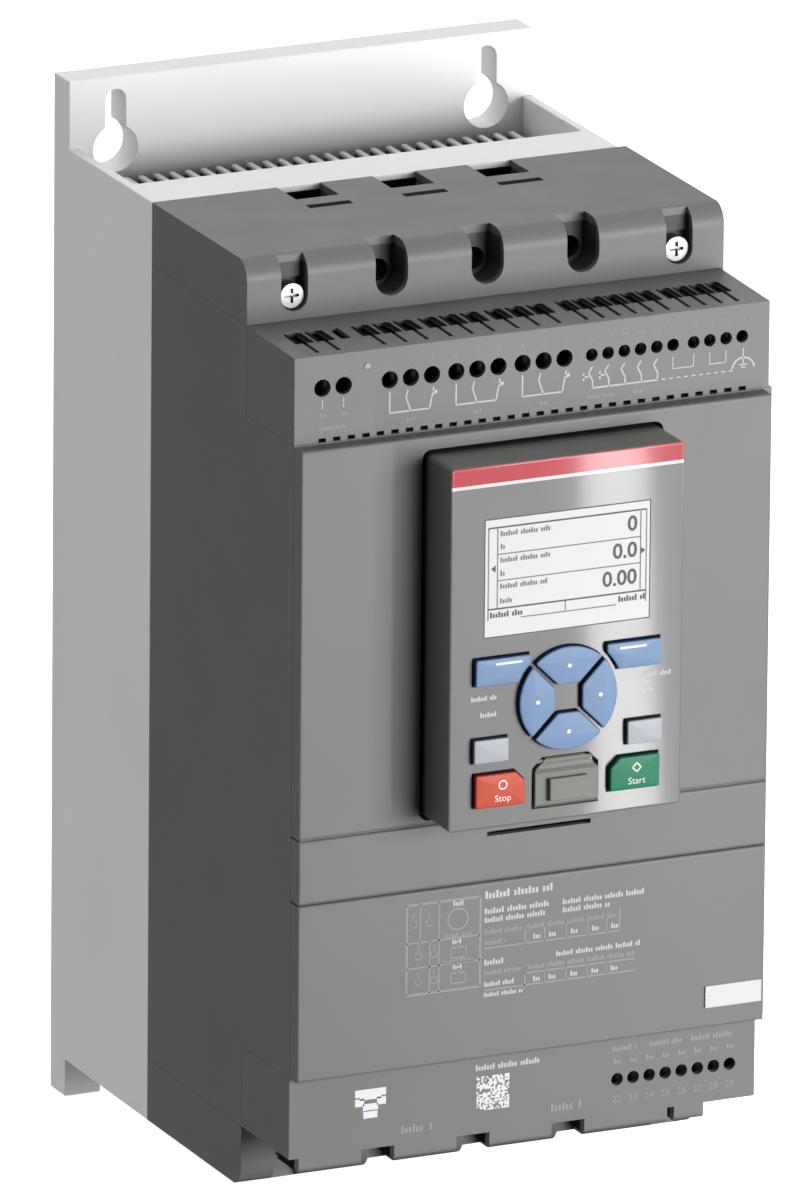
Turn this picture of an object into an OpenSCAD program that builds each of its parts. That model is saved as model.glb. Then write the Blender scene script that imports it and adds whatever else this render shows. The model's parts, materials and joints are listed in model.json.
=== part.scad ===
// Soft starter for a three-phase motor, built on a finned aluminium heat sink.
// The origin is the centre of the four fixing points, on the rear face.
// X runs across the device, Z runs up, and the front looks towards -Y.
// A depth is a distance forward of the rear face, so a depth of 10 is y = -10.

/* [Mounting plate] */
// Width of the device
width = 150; // [135:1:165]
// Height of the mounting plate
plate_h = 314; // [284:1:346]
// Thickness of the mounting plate
plate_t = 11; // [8:0.5:12]
// Distance of the fixing screws from the sides
fixing_dx = 15; // [13:0.5:20]
// Distance of the fixing screws from the ends of the plate
fixing_dz = 7; // [6:0.5:8]
// Width of the keyhole neck
keyhole_slot_w = 6.4; // [5:0.2:7]
// Diameter of the keyhole head opening
keyhole_head_d = 14.4; // [12:0.2:16]
// Drop from the top of the keyhole neck to its head opening
keyhole_drop = 15; // [13.5:0.5:16]
// Width of the open foot slots
foot_slot_w = 7; // [5:0.5:8]

/* [Heat sink] */
// Depth of the heat sink from the rear face
sink_d = 71; // [64:0.5:78]
// Thickness of the base that carries the power modules
base_t = 19.5; // [17:0.5:20]
// Thickness of the side walls
sink_wall = 3; // [2:0.5:4]
// Fin thickness
fin_t = 2; // [1.4:0.2:2.4]
// Fin spacing
fin_pitch = 5; // [4.5:0.25:8]
// Distance that the fins stop short of the body top
fin_recess = 10; // [9:0.5:12]
// Air gap between the fin tips and the mounting plate
fin_tip_gap = 1.5; // [1:0.5:3]
// Distance of the body top from the upper end of the plate
body_top = 20.7; // [18:0.1:23]
// Distance of the body bottom from the lower end of the plate
body_bottom = 11.3; // [11:0.1:13]

/* [Fans] */
// Room round each fan frame in the air duct
fan_fit = 1.25; // [0.6:0.05:2]
// Thickness of the fan frames
fan_t = 10; // [8:0.5:12]
// Thickness of the plate that carries the fans
fan_plate_t = 1.5; // [1:0.1:2]
// Distance of each fan from the middle
fan_x = 36; // [24:1:44]
// Number of blades
fan_blades = 7; // [5:1:9]
// Blade pitch in degrees
blade_pitch = 40; // [30:1:50]

/* [Housing] */
// Wall thickness of the plastic parts
wall = 2.5; // [2:0.1:3]
// Distance that the housing stands out from the heat sink on the right
housing_step = 2.5; // [0:0.1:4]
// Distance that the load terminal cover stays behind the heat sink on the right
load_inset = 3.8; // [0:0.1:4]
// Distance that the upper control cover stands out from the heat sink on the right
control_step = 1.5; // [0:0.1:2.5]
// Height of the power terminal covers
power_h = 19; // [18.5:0.5:22]
// Depth of the power terminal covers in front of the heat sink
power_d = 67.5; // [60:0.5:75]
// Radius of their front edges
power_edge_r = 6; // [3:0.5:7]
// Depth of the control terminal covers in front of the power terminal covers
control_d = 33.5; // [30:0.5:37]
// Height of the upper control terminal cover
upper_control_h = 27; // [24:0.2:28]
// Height of the lower control terminal cover
lower_control_h = 24.6; // [22.4:0.2:26]
// Slope of the upper control cover over its depth
control_slope = 0.8; // [0:0.1:1.5]
// Depth of the front covers in front of the control terminal covers
cover_d = 5.4; // [4.8:0.1:6]
// Radius of the front edges of the covers and the keypad
cover_edge_r = 0.8; // [0.3:0.1:1]
// Seam between two covers
seam = 0.5; // [0.3:0.1:0.8]
// Height of the middle front cover
middle_cover_h = 19.2; // [16:0.2:22]

/* [Power terminals] */
// Distance between poles
pole_pitch = 30.6; // [29:0.2:32]
// Position of the middle pole
pole_x = 1.6; // [-2:0.1:4]
// Width of a cable entry
entry_w = 13.8; // [13:0.2:16]
// Distance of the cable entries to the right of the poles
entry_shift = 0.8; // [0:0.1:1]
// Depth of a cable entry
entry_d = 13.6; // [13:0.2:16]
// Width of a screwdriver opening
driver_w = 10.2; // [9:0.2:11]
// Height of a screwdriver opening, from its round end to the top of the cover
driver_h = 15.2; // [14:0.2:16]
// Depth of a screwdriver opening
driver_depth = 10; // [6:0.5:11]
// Distance of the cover screws from the sides, less the shift of the middle pole
cover_screw_x = 13.5; // [12:0.5:16]

/* [Control terminals] */
// Spacing of the large screw terminals
large_pitch = 6.7; // [6.4:0.1:6.9]
// Spacing of the small screw terminals
small_pitch = 5.2; // [4.8:0.1:5.3]
// Screwdriver hole of a large terminal
large_hole_d = 5.2; // [4.6:0.1:5.4]
// Screwdriver hole of a small terminal
small_hole_d = 3.8; // [3.4:0.1:4.2]
// Distance of the first and the last terminal from the sides
row_margin = [8.9, 7.3]; // [7:0.1:10]
// Distances between the supply, relay, input and analog terminal groups
group_gaps = [14.6, 7.7, 8.7, 6.6]; // [6:0.1:16]
// Distance of the last lower terminal from the side
lower_margin = 8.2; // [7:0.1:12]
// Number of vents under the upper control cover
vent_count = 30; // [20:1:30]

/* [Keypad] */
// Width of the keypad
keypad_w = 74.4; // [72:0.2:82]
// Height of the keypad
keypad_h = 110; // [100:0.2:121]
// Position of the keypad across the device
keypad_x = 1.8; // [-2:0.1:6]
// Distance from the top of the front covers to the keypad
keypad_z = 5.1; // [4:0.1:8]
// Height of the keypad face over the front covers
face_d = 17.2; // [15.4:0.1:19]
// Gap between the keypad and its bay
bay_gap = 1.2; // [0.6:0.1:1.4]
// Width of the display window
window_w = 52.7; // [48:0.2:56]
// Height of the display window
window_h = 35.6; // [32:0.2:36]
// Height of the keys over the face
key_proud = 2.4; // [1.8:0.1:3]
// Radius of the ring of arrow keys
ring_r = 15.6; // [14.5:0.1:15.8]

/* [Hidden] */
$fn = 48;
clearance = 0.3;
bite = 1;

// Depths of the front faces
power_front_d = sink_d + power_d;
control_front_d = power_front_d + control_d;
cover_front_d = control_front_d + cover_d;
face_front_d = cover_front_d + face_d;

// Levels of the body
top_z = plate_h / 2 - body_top;
bottom_z = body_bottom - plate_h / 2;
middle_z = (top_z + bottom_z) / 2;
high_z = top_z - power_h;
low_z = bottom_z + power_h;
upper_strip_z = high_z - upper_control_h;
lower_strip_z = low_z + lower_control_h;
cover_top_z = upper_strip_z - seam;
cover_bottom_z = lower_strip_z + seam;
bay_lip = 1.2;
keypad_bottom_z = cover_top_z - keypad_z - keypad_h;
keypad_mid_z = keypad_bottom_z + keypad_h / 2;
upper_bottom_z = keypad_bottom_z - bay_gap - bay_lip;
middle_top_z = upper_bottom_z - seam;
middle_bottom_z = middle_top_z - middle_cover_h;
lower_seam_z = middle_bottom_z - seam;
half_w = width / 2;
inner_w = width - 2 * wall;
inner_right = inner_w / 2 + housing_step;

// Heat sink
duct_d = sink_d - base_t - plate_t;
fin_count = floor((width - 2 * sink_wall) / fin_pitch);
fixing_x = half_w - fixing_dx;
fixing_z = plate_h / 2 - fixing_dz;
keyhole_z = fixing_z - keyhole_drop;
foot_z = -fixing_z;
tap_r = 2.6;
module_screw_r = 2.5;
module_screw_grip = 12;
module_head_r = 4.2;
module_head_l = 4;
module_hex_r = 2.3;
module_hex_floor = 1.5;

// Fans
fan_size = duct_d - 2 * fan_fit;
fan_z = bottom_z + fan_plate_t;
fan_recess = fan_plate_t + fan_t + clearance;
fan_hub_r = 9;
fan_web = 1.5;
fan_spindle_r = 1;
fan_running_gap = 0.05;
fan_y = -(plate_t + duct_d / 2);
fan_hole_r = 1.6;
fan_hole_inset = 4;
fan_corner_r = 3;
fan_strut_w = 2.5;
fan_rim = 1;
fan_tip_gap = 0.6;
fan_blade_t = 1;
fan_blade_trim = 0.8;
fan_cap_t = 0.6;
fan_top_gap = 0.9;
fan_spindle_gap = 3;
fan_plate_gap = 0.2;
fan_bore_r = fan_size / 2 - fan_rim;
fan_blade_r = fan_bore_r - fan_tip_gap;

// Power poles
poles = [for (i = [-1:1]) pole_x + i * pole_pitch];
drive_z = top_z - driver_h + driver_w / 2;
drive_hole_r = 3.4;
drive_land = 2;
bar_w = 10.4;
bar_t = 3;
cage_wall = 2;
cage_gap = 1;
cage_front_wall = 4;
cage_h = 14;
cage_back_d = sink_d + cage_gap;
bar_gap = 0.2;
bar_fit = 0.5;
bar_stop = 1;
bar_d = cage_back_d + cage_wall + bar_gap;
cage_inner_d = 13.5;
cage_front_d = cage_back_d + cage_wall + cage_inner_d + cage_front_wall;
clamp_screw_r = 3;
clamp_head_r = 4.6;
clamp_head_l = 8;
clamp_reach = 1.5;
clamp_neck_l = 5;
clamp_hex_r = 2.9;
clamp_hex_floor = 3;
clamp_screw_fit = 0.1;
cage_fit = 0.4;
slit_w = 1.3;
slit_gap = 7;
barrier_t = 2;
barrier_h = cage_h;
sheet_t = 0.8;
sheet_lip = 1.9;
sheet_fit = 0.1;

// Cover screws
screw_z = high_z + 6.8;
cover_screws_x = [for (s = [-1, 1]) pole_x + s * (half_w - cover_screw_x)];
screw_head_r = 3.7;
screw_head_l = 4.2;
screw_r = 1.6;
screw_l = 18;
groove_w = 8.4;
groove_d = 4.2;
pocket_d = 6;
pocket_floor = 3.5;
pocket_rise = 5;
groove_land = 2;
screw_hole_fit = 0.2;
screw_thread_fit = 0.05;
screw_cross = [4.4, 0.9];
screw_cross_d = 1.5;
boss_w = 10;
boss_l = 20;
boss_h = 13;

// Thyristor modules, contactor and current transformers
module_w = 20;
module_h = 92;
module_foot_h = 10;
module_foot_d = 8;
module_d = 30;
module_top_z = high_z - 14.3;
module_bottom_z = module_top_z - module_h;
module_screw_inset = 5;
module_groove = [6, 3];
lead_rise = 3;
lead_z = module_top_z + lead_rise;
lead_overlap = 16;
contactor_d = 47;
run_gap = 4;
run_d = sink_d + contactor_d + run_gap;
return_rise = 18;
contactor_gap = 8;
contactor_step = 12;
contactor_w = 3 * pole_pitch - 2;
transformer_w = 24;
transformer_h = 16;
transformer_d = 22;
transformer_gap = 4;
transformer_lift = 12.7;
transformer_corner_r = 3;
return_z = low_z + return_rise;
transformer_z = return_z + bar_t + transformer_lift;
contactor_bottom_z = transformer_z + transformer_h + transformer_gap;
contactor_top_z = module_bottom_z - contactor_gap;

// Control board and its terminals
board_t = 1.6;
board_setback = 24;
board_side_gap = 3.5;
board_d = control_front_d - board_setback;
board_w = inner_w - 2 * board_side_gap;
board_top_z = high_z - 7;
board_bottom_z = low_z + 6;
ledge_w = 6;
ledge_t = 3;
ledge_margin = 10;
terminal_z = high_z - 10.6;
lower_terminal_z = low_z + 10.9;
large_well_r = 2.3;
small_well_r = 1.9;
well_d = 6;
well_screw_l = 3;
well_screw_slot = [0.6, 1];
well_screw_gap = 0.15;
block_fit = 0.1;
block_entry = [4.5, 3];
block_top = 5.2;
block_low = 9.8;
block_gap = 2.6;
block_front_d = control_front_d - wall - block_gap;
entry_setback = 22.4;
entry_back_d = control_front_d - entry_setback;
entry_l = 10;
small_entry_w = 3;
large_entry_w = 3.6;
wire_slit_w = 1.2;
wire_slit_margin = 0.5;
supply_first_x = row_margin[0] - half_w;
relay_first_x = supply_first_x + large_pitch + group_gaps[0];
relay_step = 2 * large_pitch + group_gaps[1];
input_first_x = relay_first_x + 2 * relay_step + 2 * large_pitch + group_gaps[2];
analog_first_x = input_first_x + 5 * small_pitch + group_gaps[3];
analog_last = floor((half_w - row_margin[1] - analog_first_x + clearance) / small_pitch);
supply_x = [for (i = [0:1]) supply_first_x + i * large_pitch];
relay_groups = [for (g = [0:2]) relay_first_x + g * relay_step];
input_x = [for (i = [0:5]) input_first_x + i * small_pitch];
analog_x = [for (i = [0:analog_last]) analog_first_x + i * small_pitch];
lower_x = [for (i = [7:-1:0]) half_w - lower_margin - i * small_pitch];
relay_x = [for (g = relay_groups, i = [0:2]) g + i * large_pitch];
large_x = concat(supply_x, relay_x);
small_x = concat(input_x, analog_x);
lamp_inset = 23.1;
spare_inset = 22.1;
led_x = lamp_inset - half_w;
spare_entry_x = spare_inset - half_w;
led_z = high_z - 5.5;
led_r = 1;
led_fit = 0.1;
led_proud = 0.2;
vent_margin = 5.5;
vent_pitch = (inner_w - 2 * vent_margin) / (vent_count - 1);
vent_w = 2.4;
vent_h = 1.3;
vent_x = 0.9;
// Left and right ends of the skirt tabs under the lower control cover
skirt_inset = 3.2;
skirt_tab_w = 20;
skirt_slit_w = 2.2;
skirt_last_w = 9.5;
skirt_end_inset = 16.5;
skirt_x = skirt_inset - half_w;
skirt_end = half_w - skirt_end_inset;
skirt_slit = [skirt_end - skirt_last_w - skirt_slit_w, skirt_end - skirt_last_w];
skirt_tabs = concat([for (i = [0:2]) [skirt_x + i * pole_pitch, skirt_x + i * pole_pitch + skirt_tab_w]],
    [[skirt_x + 3 * pole_pitch, skirt_slit[0]], [skirt_slit[1], skirt_end]]);
skirt_h = 4.6;
skirt_t = 3;
tag_w = 18.2;
tag_h = 6.7;
tag_t = 0.6;
tag_inset = 1;
tag_rise = 6.1;
pull_slit = [33.2, 1.3];
pull_slit_x = -0.1;
pull_slit_drop = 4.9;

// Keypad
bay_w = keypad_w + 2 * bay_gap;
bay_h = keypad_h + 2 * bay_gap;
bay_wall = 1.8;
bay_sink = 6;
bay_floor_d = control_front_d - bay_sink;
bay_top_z = keypad_bottom_z + keypad_h + bay_gap + bay_wall;
seam_bar_d = 4;
tongue_setback = 1;
tongue_inset = 0.8;
tongue_gap = 0.1;
keypad_back_d = bay_floor_d + clearance;
keypad_split_d = cover_front_d + 1.2;
shell_t = 2.2;
keypad_edge_r = 1.5;
ring_rise = 37.2;
soft_key_rise = 47.9;
side_key_rise = 24.1;
run_key_rise = 11.9;
flap_rise = 19.1;
window_gap = 6.05;
ring_z = keypad_bottom_z + ring_rise;
ring_gap = 1.3;
ring_inner = 4.4;
key_clearance = 0.35;
flange = 0.9;
flange_t = 1.5;
key_back_d = face_front_d - shell_t - clearance - flange_t;
soft_key_w = 17.4;
soft_key_h = 8;
soft_key_x = 20.9;
soft_key_z = keypad_bottom_z + soft_key_rise;
window_z = soft_key_z + soft_key_h / 2 + window_gap + window_h / 2;
soft_key_clear = 1.7;
soft_key_cut_r = ring_r + soft_key_clear;
side_key_w = 11;
side_key_h = 7.1;
side_key_x = 24.5;
side_key_z = keypad_bottom_z + side_key_rise;
run_key_w = 15.8;
run_key_h = 10;
run_key_x = 21.5;
run_key_z = keypad_bottom_z + run_key_rise;
run_key_cut = 3;
board_drop = 11.6;
keypad_board_d = face_front_d - board_drop;
mat_t = 1.2;
dome_r = 2.2;
key_travel = 1.2;
panel_margin = 3;
panel_trim = 2;
window_fit = 0.15;
board_rim = 2.5;
mat_rim = 6;
ring_dome = 10;
boss_inset = 6;
keypad_boss_r = 2.5;
wall_trim = 0.8;

// Service port and its flap
flap_w = 20.2;
flap_h = 14.6;
flap_top_z = keypad_bottom_z + flap_rise;
flap_cut = 4;
flap_proud = 1.2;
flap_hinge_r = 1;
flap_hinge_drop = 0.8;
flap_hinge_d = face_front_d - flap_hinge_drop;
flap_hinge_z = flap_top_z - flap_hinge_r;
flap_back = 0.9;
flap_gap = 0.4;
flap_swing_room = 1.1;
flap_pin_r = 0.6;
flap_pin_fit = 0.05;
flap_lead = [2, 3.2];
flap_pad_rise = 2.2;
flap_chamfer = 1;
flap_pin_l = 1.4;
flap_pin_end = 0.1;
flap_pin_reach = flap_w / 2 + flap_gap + flap_pin_l;
flap_ear_t = 0.6;
flap_pad_w = 12;
flap_pad_h = 6.8;
flap_pad_proud = 1.7;
port_wall = 1.6;
port_floor = 3;
port_back_d = flap_hinge_d - flap_hinge_r - flap_gap - port_floor;
port_w = 7.7;
port_h = 3.9;
port_shell = 0.4;
port_base_t = 1;
port_setback = 0.5;
port_mat_gap = 1;

// Keypad plug and socket
plug_w = 11.4;
plug_h = 6.6;
plug_l = 9;
socket_wall = 2;
socket_floor = 3;
plug_gap = 0.3;

// Colours of the moulded and metal parts
aluminium = "#c9cacc";
plastic = "#6c6d6b";
plastic_dark = "#3a3a3a";
copper = "#b87333";
steel = "#c8c8cc";
board_green = "#2f6b3a";
key_blue = "#8fb0d8";

// Slab of an outline drawn in x and z, between two depths
module slab(from, to) {
    translate([0, -from, 0]) rotate([90, 0, 0]) linear_extrude(to - from) children();
}

// Outline drawn in depth and z, carried across the device between two x positions
module across(from, to) {
    translate([from, 0, 0]) rotate([90, 0, 90]) linear_extrude(to - from) mirror([1, 0]) children();
}

// Round rod or hole along the depth
module rod(x, z, from, to, r) {
    slab(from, to) translate([x, z]) circle(r);
}

// Rectangle between two corners
module box2(x0, z0, x1, z1) {
    translate([x0, z0]) square([x1 - x0, z1 - z0]);
}

// Rectangle with round corners about the origin
module round_rect(w, h, r) {
    square([w - 2 * r, h], center = true);
    square([w, h - 2 * r], center = true);
    for (sx = [-1, 1], sz = [-1, 1]) translate([sx * (w / 2 - r), sz * (h / 2 - r)]) circle(r);
}

// Outline drawn in x and depth, carried up the device between two levels
module upright(from, to) {
    translate([0, 0, from]) linear_extrude(to - from) mirror([0, 1]) children();
}

// Rectangle between two corners whose two corners at the larger first coordinate are round
module round_front(d0, z0, d1, z1, r) {
    box2(d0, z0, d1 - r, z1);
    box2(d0, z0 + r, d1, z1 - r);
    for (z = [z0 + r, z1 - r]) translate([d1 - r, z]) circle(r);
}

// Block between two corners in x and z and two depths, with all its front edges round
module soft_block(x0, z0, x1, z1, from, to, r) {
    intersection() {
        across(x0, x1) round_front(from, z0, to, z1, r);
        upright(z0, z1) mirror([1, -1]) round_front(from, x0, to, x1, r);
    }
}

// The same solid at the bottom of the body
module at_bottom() {
    translate([0, 0, middle_z]) mirror([0, 0, 1]) translate([0, 0, -middle_z]) children();
}

// Heat sink: extruded tube with fins, keyholes and feet
module keyhole_outline() {
    circle(keyhole_head_d / 2);
    translate([-keyhole_slot_w / 2, 0]) square([keyhole_slot_w, keyhole_drop]);
    translate([0, keyhole_drop]) circle(keyhole_slot_w / 2);
}

module foot_slot_outline() {
    circle(foot_slot_w / 2);
    translate([-foot_slot_w / 2, -plate_h / 2]) square([foot_slot_w, plate_h / 2]);
}

module sink_tube_section() {
    difference() {
        translate([-half_w, -sink_d]) square([width, sink_d]);
        translate([-half_w + sink_wall, -(sink_d - base_t)]) square([width - 2 * sink_wall, duct_d]);
    }
}

module fin_section() {
    for (i = [0:fin_count - 1])
        translate([(i - (fin_count - 1) / 2) * fin_pitch - fin_t / 2, -(sink_d - base_t) - bite])
            square([fin_t, duct_d - fin_tip_gap + bite]);
}

module heat_sink() {
    color(aluminium) difference() {
        union() {
            translate([0, 0, bottom_z]) linear_extrude(top_z - bottom_z) sink_tube_section();
            slab(0, plate_t) square([width, plate_h], center = true);
            translate([0, 0, bottom_z + fan_recess])
                linear_extrude(top_z - bottom_z - fan_recess - fin_recess) fin_section();
        }
        for (s = [-1, 1]) {
            slab(-bite, plate_t + bite) translate([s * fixing_x, keyhole_z]) keyhole_outline();
            slab(-bite, plate_t + bite) translate([s * fixing_x, foot_z]) foot_slot_outline();
        }
        for (x = poles, z = [module_bottom_z + module_screw_inset, module_top_z - module_screw_inset])
            rod(x, z, sink_d - module_screw_grip - bite, sink_d + bite, tap_r);
    }
}

// Plate that closes the bottom recess of the heat sink round the two fans
module fan_plate() {
    color("#8c8e90") translate([0, 0, bottom_z]) linear_extrude(fan_plate_t) difference() {
        translate([-half_w + sink_wall + fan_plate_gap, -(plate_t + duct_d - fan_plate_gap)])
            square([width - 2 * (sink_wall + fan_plate_gap), duct_d - 2 * fan_plate_gap]);
        for (s = [-1, 1]) translate([s * fan_x, fan_y]) {
            circle(fan_bore_r);
            fan_holes();
        }
    }
}

// Screw holes at the corners of a fan
module fan_holes() {
    for (sx = [-1, 1], sy = [-1, 1]) translate([sx, sy] * (fan_size / 2 - fan_hole_inset)) circle(fan_hole_r);
}

// Fans in the bottom recess of the heat sink
module fan_frame(x) {
    color(plastic_dark) translate([x, fan_y, fan_z]) {
        linear_extrude(fan_t) difference() {
            round_rect(fan_size - 2 * fan_running_gap, fan_size - 2 * fan_running_gap, fan_corner_r);
            circle(fan_bore_r);
            fan_holes();
        }
        linear_extrude(fan_web) {
            circle(fan_hub_r);
            for (i = [0:2]) rotate(i * 120 + 30)
                translate([0, -fan_strut_w / 2]) square([fan_bore_r + fan_rim / 2, fan_strut_w]);
        }
        cylinder(r = fan_spindle_r, h = fan_t - fan_spindle_gap);
    }
}

module fan_rotor(x) {
    hub_l = fan_t - fan_web - 2 * clearance - fan_top_gap;
    chord = (hub_l - fan_blade_trim) / sin(blade_pitch);
    color("#202020") translate([x, fan_y, fan_z + fan_web + clearance]) difference() {
        union() {
            cylinder(r = fan_hub_r, h = hub_l);
            intersection() {
                cylinder(r = fan_blade_r, h = hub_l);
                for (i = [0:fan_blades - 1]) rotate(i * 360 / fan_blades)
                    translate([fan_hub_r - bite, 0, hub_l / 2]) rotate([blade_pitch, 0, 0])
                        translate([0, -chord / 2, -fan_blade_t / 2]) cube([fan_size / 2, chord, fan_blade_t]);
            }
        }
        translate([0, 0, -bite]) cylinder(r = fan_spindle_r + fan_running_gap, h = hub_l - fan_cap_t + bite);
    }
}

// Main housing: a deep frame between the heat sink and the covers
module housing_side() {
    box2(sink_d, low_z, power_front_d, high_z);
    box2(power_front_d - bite, lower_strip_z, control_front_d, upper_strip_z);
}

// Screw bosses and pole barriers that stand in a power terminal bay
module terminal_bay_ribs() {
    boss_front_d = power_front_d - pocket_d - pocket_floor - clearance;
    for (x = cover_screws_x) difference() {
        translate([x - boss_w / 2, -boss_front_d, high_z - bite])
            cube([boss_w, boss_l, boss_h + bite]);
        rod(x, screw_z, boss_front_d - boss_l + wall, boss_front_d + bite, screw_r + screw_thread_fit);
    }
    for (i = [0:1]) translate([poles[i] + pole_pitch / 2 - barrier_t / 2, -cage_front_d, high_z - bite])
        cube([barrier_t, cage_front_d - sink_d, barrier_h + bite]);
}

// Openings in the housing for the conductors of the three poles
module bar_openings() {
    for (x = poles) translate([x - bar_w / 2 - bar_fit, -(bar_d + bar_t + bar_fit), high_z - wall - bite])
        cube([bar_w + 2 * bar_fit, bar_t + 2 * bar_fit, wall + 2 * bite]);
}

module main_housing() {
    color(plastic) difference() {
        union() {
            difference() {
                across(-half_w, half_w + housing_step) housing_side();
                across(-inner_w / 2, inner_right)
                    box2(sink_d - bite, low_z + wall, control_front_d + bite, high_z - wall);
            }
            terminal_bay_ribs();
            at_bottom() terminal_bay_ribs();
            for (s = [-1, 1]) across(s > 0 ? inner_w / 2 - ledge_w : -inner_w / 2 - bite,
                    s > 0 ? inner_right + bite : -inner_w / 2 + ledge_w)
                box2(board_d - ledge_t, lower_strip_z + ledge_margin, board_d, upper_strip_z - ledge_margin);
            across(-inner_w / 2 - bite, inner_right + bite)
                box2(control_front_d - seam_bar_d, bay_top_z + clearance, control_front_d, upper_strip_z);
        }
        bar_openings();
        at_bottom() bar_openings();
    }
}

// Power terminal covers
module power_profile(inset, reach) {
    r = power_edge_r - inset;
    box2(sink_d - reach, high_z - reach, power_front_d - power_edge_r, top_z - inset);
    box2(sink_d - reach, high_z - reach, power_front_d - inset, top_z - power_edge_r);
    translate([power_front_d - power_edge_r, top_z - power_edge_r]) circle(r);
}

// Screwdriver opening, round below and open at the top of the cover
module driver_outline() {
    circle(driver_w / 2);
    translate([-driver_w / 2, 0]) square([driver_w, driver_h]);
}

// Solid lands behind the screwdriver openings and the cover screws
module power_cover_lands() {
    for (x = poles) translate([x - driver_w / 2 - drive_land, -power_front_d, high_z])
        cube([driver_w + 2 * drive_land, driver_depth + drive_land, power_h]);
    for (x = cover_screws_x) translate([x - groove_w / 2 - groove_land, -power_front_d, high_z])
        cube([groove_w + 2 * groove_land, pocket_d + pocket_floor, power_h]);
}

// Cover whose right side stands out from the heat sink by step
module power_cover(step) {
    color(plastic) difference() {
        union() {
            difference() {
                across(-half_w, half_w + step) power_profile(0, 0);
                across(-inner_w / 2, inner_w / 2 + step) power_profile(wall, bite);
            }
            intersection() {
                across(-half_w, half_w + step) power_profile(0, 0);
                power_cover_lands();
            }
        }
        for (x = poles) {
            translate([x + entry_shift - entry_w / 2, -sink_d - entry_d, top_z - wall - bite]) {
                cube([entry_w, entry_d + bite, wall + 2 * bite]);
                translate([0, -slit_gap - slit_w, 0]) cube([entry_w, slit_w, wall + 2 * bite]);
            }
            slab(power_front_d - driver_depth, power_front_d + bite) translate([x, drive_z]) driver_outline();
            rod(x, drive_z, power_front_d - driver_depth - drive_land - bite, power_front_d, drive_hole_r);
        }
        for (x = cover_screws_x) {
            slab(power_front_d - groove_d, power_front_d + bite)
                translate([x - groove_w / 2, screw_z]) square([groove_w, power_h]);
            slab(power_front_d - pocket_d, power_front_d + bite) translate([x, screw_z]) {
                circle(groove_w / 2);
                translate([-groove_w / 2, 0]) square([groove_w, pocket_rise]);
            }
            rod(x, screw_z, sink_d, power_front_d, screw_r + screw_hole_fit);
        }
    }
}

module line_terminal_cover() { power_cover(housing_step); }
module load_terminal_cover() { at_bottom() power_cover(-load_inset); }

// Cross-recessed screws that hold the two power terminal covers
module cover_screw(x) {
    seat_d = power_front_d - pocket_d;
    difference() {
        union() {
            rod(x, screw_z, seat_d, seat_d + screw_head_l, screw_head_r);
            rod(x, screw_z, seat_d - screw_l, seat_d + bite, screw_r);
        }
        for (a = [0, 90]) slab(seat_d + screw_head_l - screw_cross_d, seat_d + screw_head_l + bite)
            translate([x, screw_z]) rotate(a) square(screw_cross, center = true);
    }
}

module cover_screws() {
    color(steel) {
        for (x = cover_screws_x) cover_screw(x);
        at_bottom() for (x = cover_screws_x) cover_screw(x);
    }
}

// Control terminal covers
module upper_control_profile(inset, reach) {
    polygon([[power_front_d - reach, upper_strip_z - reach], [control_front_d - inset, upper_strip_z - reach],
        [control_front_d - inset, high_z - control_slope - inset], [power_front_d - reach, high_z - inset]]);
}

// Round hole through the front wall of a control cover
module front_hole(x, z, r) {
    rod(x, z, control_front_d - wall - bite, control_front_d + bite, r);
}

// Wire entries and the thin slits in front of them, cut through a level wall at height z
module wire_entries(positions, entry_w_each, z) {
    for (x = positions) {
        translate([x - entry_w_each / 2, -entry_back_d - entry_l, z - wall - 2 * bite])
            cube([entry_w_each, entry_l, wall + 4 * bite]);
        translate([x - wire_slit_w / 2, -(control_front_d - wall - wire_slit_margin), z - wall - 2 * bite])
            cube([wire_slit_w, control_front_d - wall - entry_back_d - entry_l, wall + 4 * bite]);
    }
}

module control_cover_top() {
    color(plastic) difference() {
        across(-half_w, half_w + control_step) upper_control_profile(0, 0);
        across(-inner_w / 2, inner_w / 2 + control_step) upper_control_profile(wall, bite);
        for (x = large_x) front_hole(x, terminal_z, large_hole_d / 2);
        for (x = small_x) front_hole(x, terminal_z, small_hole_d / 2);
        front_hole(led_x, led_z, led_r);
        wire_entries(large_x, large_entry_w, high_z);
        wire_entries(small_x, small_entry_w, high_z);
        translate([spare_entry_x - small_entry_w / 2, -entry_back_d - entry_l, high_z - wall - 2 * bite])
            cube([small_entry_w, entry_l, wall + 4 * bite]);
        for (i = [0:vent_count - 1])
            translate([vent_x + (i - (vent_count - 1) / 2) * vent_pitch - vent_w / 2,
                -control_front_d - bite, upper_strip_z - bite])
                cube([vent_w, wall + 2 * bite, vent_h + bite]);
    }
}

module skirt_tab(x0, x1) {
    across(x0, x1) {
        box2(control_front_d - skirt_t, low_z - skirt_h + skirt_t / 2, control_front_d, low_z + bite);
        translate([control_front_d - skirt_t / 2, low_z - skirt_h + skirt_t / 2]) circle(skirt_t / 2);
    }
}

module control_cover_bottom() {
    color(plastic) difference() {
        union() {
            difference() {
                across(-half_w, half_w) box2(power_front_d, low_z, control_front_d, lower_strip_z);
                across(-inner_w / 2, inner_w / 2)
                    box2(power_front_d - bite, low_z + wall, control_front_d - wall, lower_strip_z + bite);
            }
            for (t = skirt_tabs) skirt_tab(t[0], t[1]);
        }
        for (x = lower_x) front_hole(x, lower_terminal_z, small_hole_d / 2);
        wire_entries(lower_x, small_entry_w, low_z + wall);
    }
}

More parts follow.
